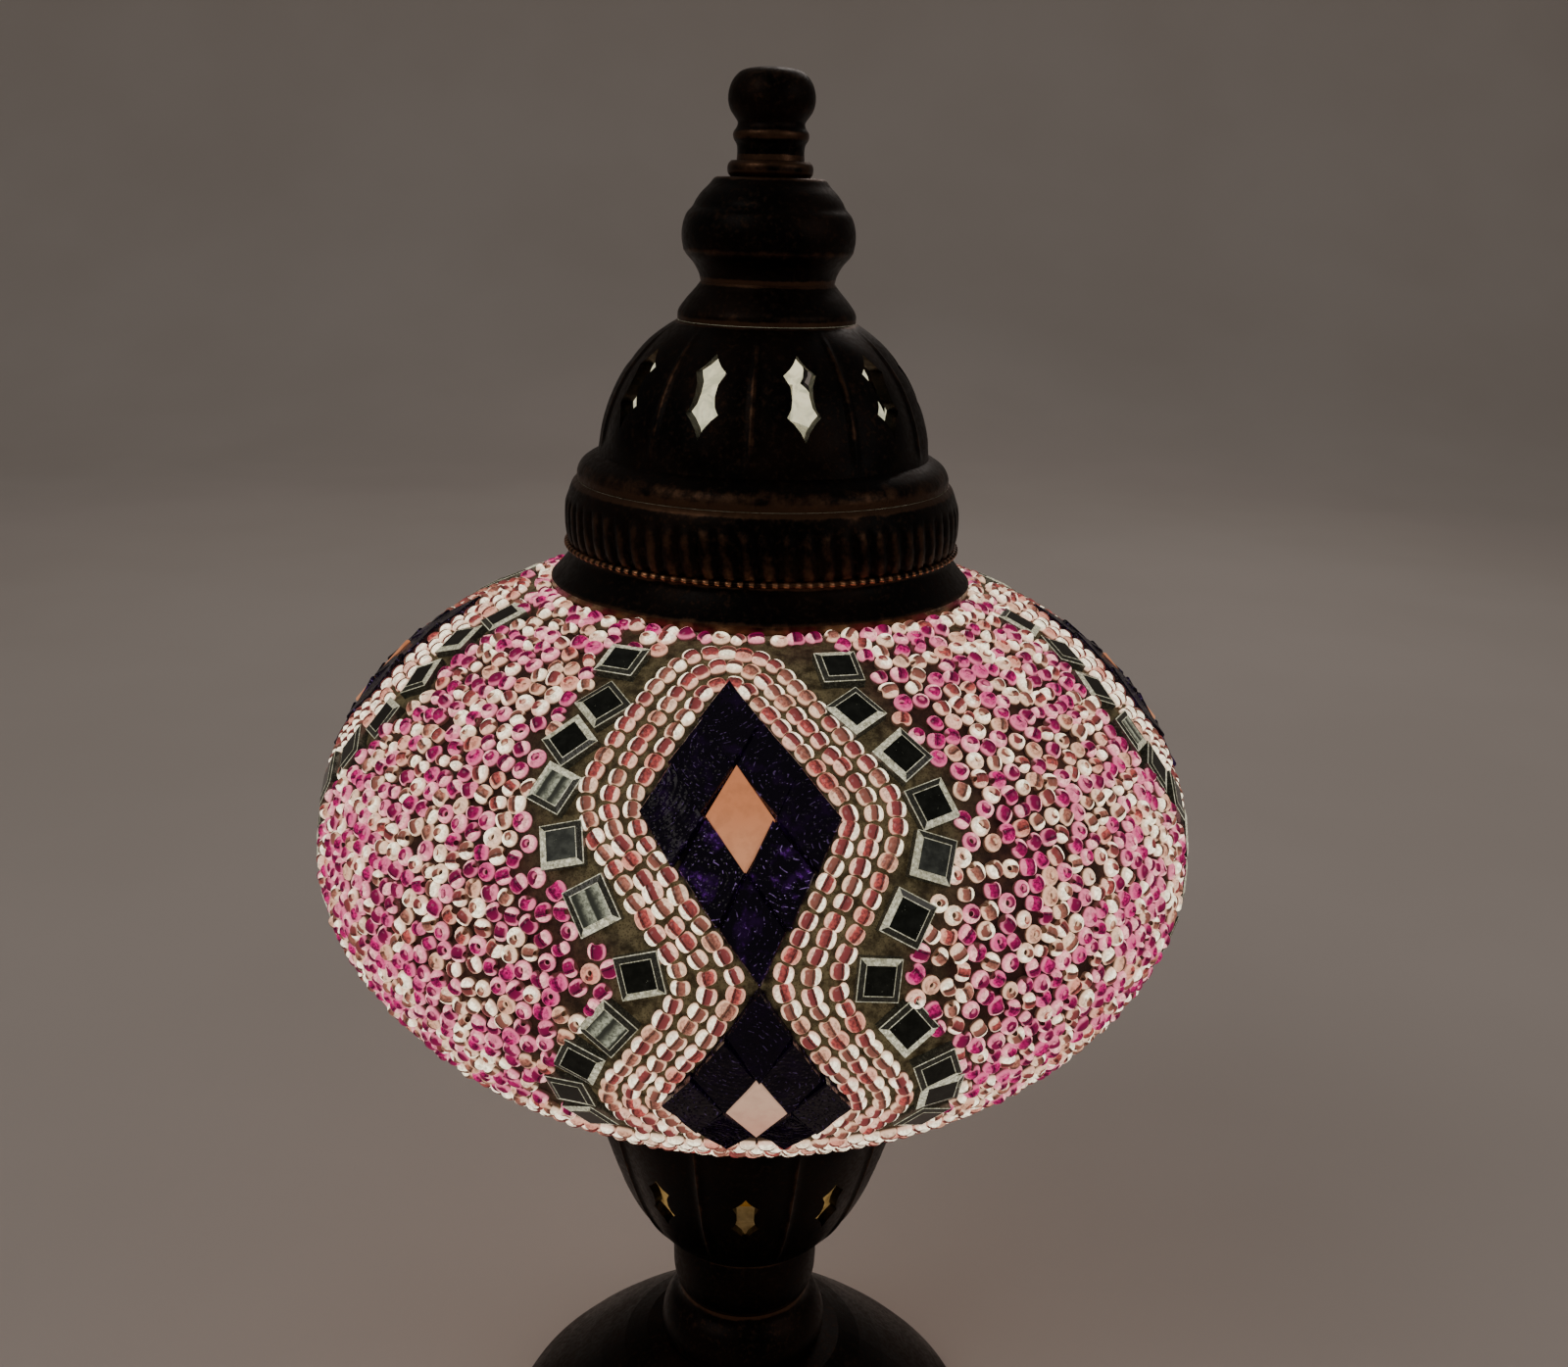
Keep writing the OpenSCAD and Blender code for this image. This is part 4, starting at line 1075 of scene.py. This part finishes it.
def lobed(count, turn, z0, z1, z2, z3, swell, rib, skip_inner):
    """Melon lobes centred on turn, with a thin raised rib between them."""

    def shape(phi, r, z, i):
        a = (phi - math.radians(turn)) * count / (2 * math.pi)
        a = a - np.round(a)
        env = fade(z, z0, z1) * (1 - fade(z, z2, z3))
        lobe = (np.cos(a * 2 * math.pi) * 0.5 + 0.5) ** 0.7
        edge = 0.5 - np.abs(a)
        width = 0.030
        bead = np.exp(-(edge / width) ** 2)
        dr = env * (swell * (lobe - 0.6) + rib * bead)
        on = (i < skip_inner) if skip_inner else np.ones_like(i, bool)
        # the raised ribs get more worn copper, which also stands as a painted highlight on them
        return np.where(on, dr, 0), np.where(on, env * (bead * 0.45 - 0.08 * (1 - lobe)), 0)

    return shape


def window_cutters(name, count, turn, z0, z1, w, r0, r1):
    """Prisms in the shape of two stacked pointed lenses, pointing outwards."""
    h = z1 - z0
    half = [(0, 0), (0.12, 0.13), (0.32, 0.24), (0.5, 0.31), (0.37, 0.4), (0.31, 0.52), (0.33, 0.66), (0.48, 0.78), (0.27, 0.85), (0.12, 0.92), (0, 1)]
    shape = [(x * w, z0 + y * h) for x, y in half] + [(-x * w, z0 + y * h) for x, y in half[-2:0:-1]]
    n = len(shape)
    verts, quads = [], []
    for k in range(count):
        phi = math.radians(turn + k * 360 / count)
        out, east = np.array([math.sin(phi), -math.cos(phi), 0]), np.array([math.cos(phi), math.sin(phi), 0])
        base = len(verts)
        for rr in (r0, r1):
            verts += [tuple((out * rr + east * x + np.array([0, 0, z])) * 0.001) for x, z in shape]
        quads += [[base + j, base + n + j, base + n + (j + 1) % n, base + (j + 1) % n] for j in range(n)]
        quads += [[base + j for j in range(n)], [base + n + j for j in range(n - 1, -1, -1)]]
    me = bpy.data.meshes.new(name)
    me.from_pydata(verts, [], quads)
    me.update()
    import bmesh
    bm = bmesh.new()
    bm.from_mesh(me)
    bmesh.ops.recalc_face_normals(bm, faces=bm.faces)
    bm.to_mesh(me)
    bm.free()
    ob = bpy.data.objects.new(name, me)
    bpy.context.scene.collection.objects.link(ob)
    return ob


def pierce(ob, cutter):
    mod = ob.modifiers.new("cut", "BOOLEAN")
    mod.operation, mod.object, mod.solver = "DIFFERENCE", cutter, "EXACT"
    dg = bpy.context.evaluated_depsgraph_get()
    bpy.context.view_layer.update()
    new = bpy.data.meshes.new_from_object(ob.evaluated_get(bpy.context.evaluated_depsgraph_get()), preserve_all_data_layers=True, depsgraph=dg)
    ob.modifiers.clear()
    old = ob.data
    ob.data = new
    bpy.data.meshes.remove(old)
    data = cutter.data
    bpy.data.objects.remove(cutter)
    bpy.data.meshes.remove(data)
    ob.data.set_sharp_from_angle(angle=math.radians(34))


cup_out = [(16.8, 64.35), (19.8, 65.7), (23.4, 69.4), (26.8, 74.4), (29.9, 80.8), (32.5, 87.8), (34.8, 95.4), (36.8, 103), (38.2, 109), (39.5, 112.4), (39.5, 114.5)]
cup_in = [(37.2, 114.5), (36.3, 109), (34.9, 103.3), (32.9, 95.8), (30.6, 88.4), (28, 81.6), (25, 75.6), (21.4, 70.6), (18.4, 67.6), (5.15, 67.6), (5.15, 64.35)]
n_out = len(curve_points(cup_out, 0.6, (9,)))
cup = cast_piece("cup_body", cup_out, cup_in, "lower_cup", "base", 240, (9,), 0.6,
                 lobed(10, 0, 67, 74, 104, 111, 0.75, 0.7, n_out), inner_mat=CUP_PAINTED_GLOW)
pierce(cup, window_cutters("cup_cut", 10, 0, 80.6, 95, 6.2, 20, 60))

cast_piece("skirt_body", [(45.3, 228.2), (45.3, 230.1), (43.6, 231.9), (42, 233.9), (41.1, 235.6), (41.1, 237)],
           [(39.2, 237), (39.2, 231.2), (34.9, 231.2), (34.9, 223), (36.7, 223), (36.7, 229.3), (43.9, 229.3), (43.9, 228.2)], "cap_skirt", "cap", 200, (1,), 0.4)


def reeds(phi, r, z, i):
    a = (phi + (z - 237) * 0.0035) * 67 / (2 * math.pi)
    a = a - np.floor(a)
    bar = np.sin(a * math.pi) ** 0.55
    env = fade(z, 237.0, 237.8) * (1 - fade(z, 245.6, 248.2))
    on = i < n_band
    # the reed tops get more worn copper, which also stands as a painted highlight on them; the grooves get less
    return np.where(on, env * (bar * 0.85 - 0.55), 0), np.where(on, env * (bar - 0.62) * 0.75, 0)


band_out = [(41.1, 237.02), (41.8, 239.8), (42, 243.4), (41.7, 247), (40.6, 250.2), (39.8, 251)]
n_band = len(curve_points(band_out, 0.45))
cast_piece("band_body", band_out, [(36.4, 251), (38.2, 249), (39.2, 246), (39.4, 242), (39.2, 237.02)], "cap_band", "cap", 67 * 8, (), 0.45, reeds)



def rope(phi, r, z, i):
    return 0.16 * np.sin(118 * phi + np.arctan2(z - 237.3, r - 41.75)), 0.3 * np.sin(118 * phi)


t_ = np.arange(12) * math.pi / 6
# painted highlight: the seam rope takes the bright copper bronze with a high edge mask all round
ob = lathe("seam_rope", np.stack([41.75 + 0.62 * np.cos(t_), 237.3 + 0.62 * np.sin(t_)], -1), 118 * 6, (BRONZE_SEAM_HIGHLIGHT,), shape=rope, wear_and_highlight=np.full(12, 0.72))
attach(ob, "cap"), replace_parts(ob, "cap_band"), ob

dome_out = [(39.6, 251.02), (39.6, 252.6), (38.8, 254.3), (37, 255.7), (35.2, 256.6), (34.7, 259.4), (34, 262.8), (32.9, 266.4), (31.4, 270), (29.4, 273.6),
            (26.8, 277), (23.8, 280.2), (20.8, 282.6), (18.6, 284)]
dome_in = [(3.3, 284), (3.3, 281.8), (17.4, 281.8), (20, 280.4), (22.8, 278), (25.6, 274.9), (28, 271.4),
           (29.8, 267.7), (31.2, 264.2), (32.2, 260.6), (32.8, 257), (33.2, 255), (35.6, 251.02)]
n_dome = len(curve_points(dome_out, 0.5, (4,)))
dome = cast_piece("dome_body", dome_out, dome_in, "cap_dome", "cap", 300, (4,), 0.5,
                  lobed(10, 13.8, 256.8, 261, 279, 284, 0.8, 0.75, n_dome), inner_mat=DOME_PAINTED_GLOW)
pierce(dome, window_cutters("dome_cut", 10, 13.8, 263.2, 279.2, 6.8, 16, 60))

cast_piece("cap_collar_body", [(18.6, 284.02), (18.5, 285.8), (16.9, 288.2), (14.8, 290.6), (13.9, 291.8)],
           [(3.3, 291.8), (3.3, 289.8), (12.6, 289.8), (15, 287.4), (16.6, 285.2), (16.6, 284.02)], "cap_collar", "cap", 144, (), 0.35)
cast_piece("cap_bell_body", [(13.9, 291.82), (14.3, 293.4), (15.5, 295.5), (16.9, 297.1), (17.5, 298), (17.9, 300.4), (17.7, 303), (16.9, 305.2),
                             (15.7, 306.6), (15, 307.9), (13.9, 309.4), (12.4, 310.9), (11.3, 312.2), (10.8, 312.4)],
           [(3.3, 312.4), (3.3, 310.2), (10.6, 310.2), (12, 308.6), (13.6, 306.4), (14.8, 304.6), (15.8, 302.4), (16, 300.4), (15.4, 298.2), (13.8, 296.4), (12.2, 293.8), (11.9, 291.82)],
           "cap_bell", "cap", 160, (4,), 0.3)
cast_piece("finial_washer_body", [(8.1, 312.45), (8.65, 313.2), (8.65, 314.8), (8, 315.6)], [(3.3, 315.6), (3.3, 312.45)], "finial_washer", "finial_lift", 96, (), 0.25)
cast_piece("finial_knob_body", [(6.9, 315.7), (6.8, 317.6), (7, 318.8), (7.6, 319.8), (7.65, 321), (7, 322), (6.8, 322.9), (7.5, 324), (8.3, 325.2), (8.8, 327), (8.6, 329.2),
                                (7.7, 331.2), (6.2, 332.6), (3.6, 333.3), (0.02, 333.5)], [(0.02, 328), (3.05, 328), (3.05, 315.7)], "finial_knob", "finial", 112, (), 0.3)

# ---------------------------------------------------------------- CAD nodes that stay
for names, material in ((("felt_pad",), FELT), (("foot_casting",), BRONZE), (("cord_grommet",), RUBBER), (("weight_plate",), IRON),
                        (("tube_washer", "tube_nut", "centre_tube", "cup_washer", "cup_nut", "tie_saddle", "tie_frame", "top_stud", "stud_nuts"), ZINC),
                        (("cup_gasket", "cap_gasket"), GASKET), (("tube_spacer", "tie_sleeves", "screw_shell", "centre_contact", "terminal_screws"), BRASS),
                        (("lampholder_shell", "lampholder_core"), HOLDER), (("bulb_tip", "bulb_cap"), BULB_CAP), (("bulb_glass",), BULB),
                        (("bulb_filament",), FILAMENT), (("glass_globe",), GLASS_PAINTED_GLOW)):
    for n_ in names:
        me = NODES[n_].data
        me.materials.clear()
        me.materials.append(material)

# ---------------------------------------------------------------- floor, light and camera
k = Mat("pale_floor", Roughness=0.75, Specular_IOR_Level=0.25)
k.to("Base Color", k.mix(k.ramp(k.noise(3, 3), 0.3, 0.7), (0.60, 0.55, 0.51), (0.64, 0.59, 0.55)))
FLOOR = k.m
a = np.linspace(0, math.pi / 2, 15)
line = [(-14.0, 0.0), (-1.0, 0.0), (1.4, 0.0)] + [(1.4 + 0.8 * math.sin(t), 0.8 - 0.8 * math.cos(t)) for t in a[1:]] + [(2.2, 3.2)]
verts = [(x, y, z) for y, z in line for x in (-10.0, 10.0)]
quads = [(2 * i, 2 * i + 1, 2 * i + 3, 2 * i + 2) for i in range(len(line) - 1)]
make("studio_floor", verts, quads, mats=(FLOOR,), scale=1.0)

world = bpy.data.worlds.new("studio")
bpy.context.scene.world = world
world.use_nodes = True
world.node_tree.nodes["Background"].inputs["Color"].default_value = (0.78, 0.72, 0.68, 1)
world.node_tree.nodes["Background"].inputs["Strength"].default_value = 0.22


def area(name, place, target, size, power, colour):
    light = bpy.data.lights.new(name, "AREA")
    light.shape, light.size, light.energy, light.color = "DISK", size, power, colour
    ob = bpy.data.objects.new(name, light)
    bpy.context.scene.collection.objects.link(ob)
    ob.location = place
    ob.rotation_mode = "QUATERNION"
    ob.rotation_quaternion = (Vector(target) - Vector(place)).to_track_quat("-Z", "Y")
    return ob


area("key", (-0.9, -0.8, 1.25), (0, 0, 0.2), 0.9, 3.2, (1.0, 0.93, 0.87))
area("fill", (1.1, -0.6, 0.8), (0, 0, 0.2), 0.8, 1.4, (1.0, 0.92, 0.88))
area("back", (0.3, 1.2, 1.1), (0, 0, 0.25), 0.7, 2.0, (1.0, 0.9, 0.84))

cam = bpy.data.cameras.new("camera")
cam.sensor_fit, cam.sensor_width, cam.lens = "HORIZONTAL", 36.0, 36.0
cam.clip_start, cam.clip_end = 0.01, 50
co = bpy.data.objects.new("camera", cam)
bpy.context.scene.collection.objects.link(co)
co.location = (0.0, -0.335, 0.308)
co.rotation_mode = "QUATERNION"
look = Matrix.Rotation(math.radians(-0.99), 4, "Z") @ Matrix.Rotation(math.radians(90 - 17.1), 4, "X") @ Matrix.Rotation(math.radians(1.66), 4, "Z")
co.rotation_quaternion = look.to_quaternion()
bpy.context.scene.camera = co
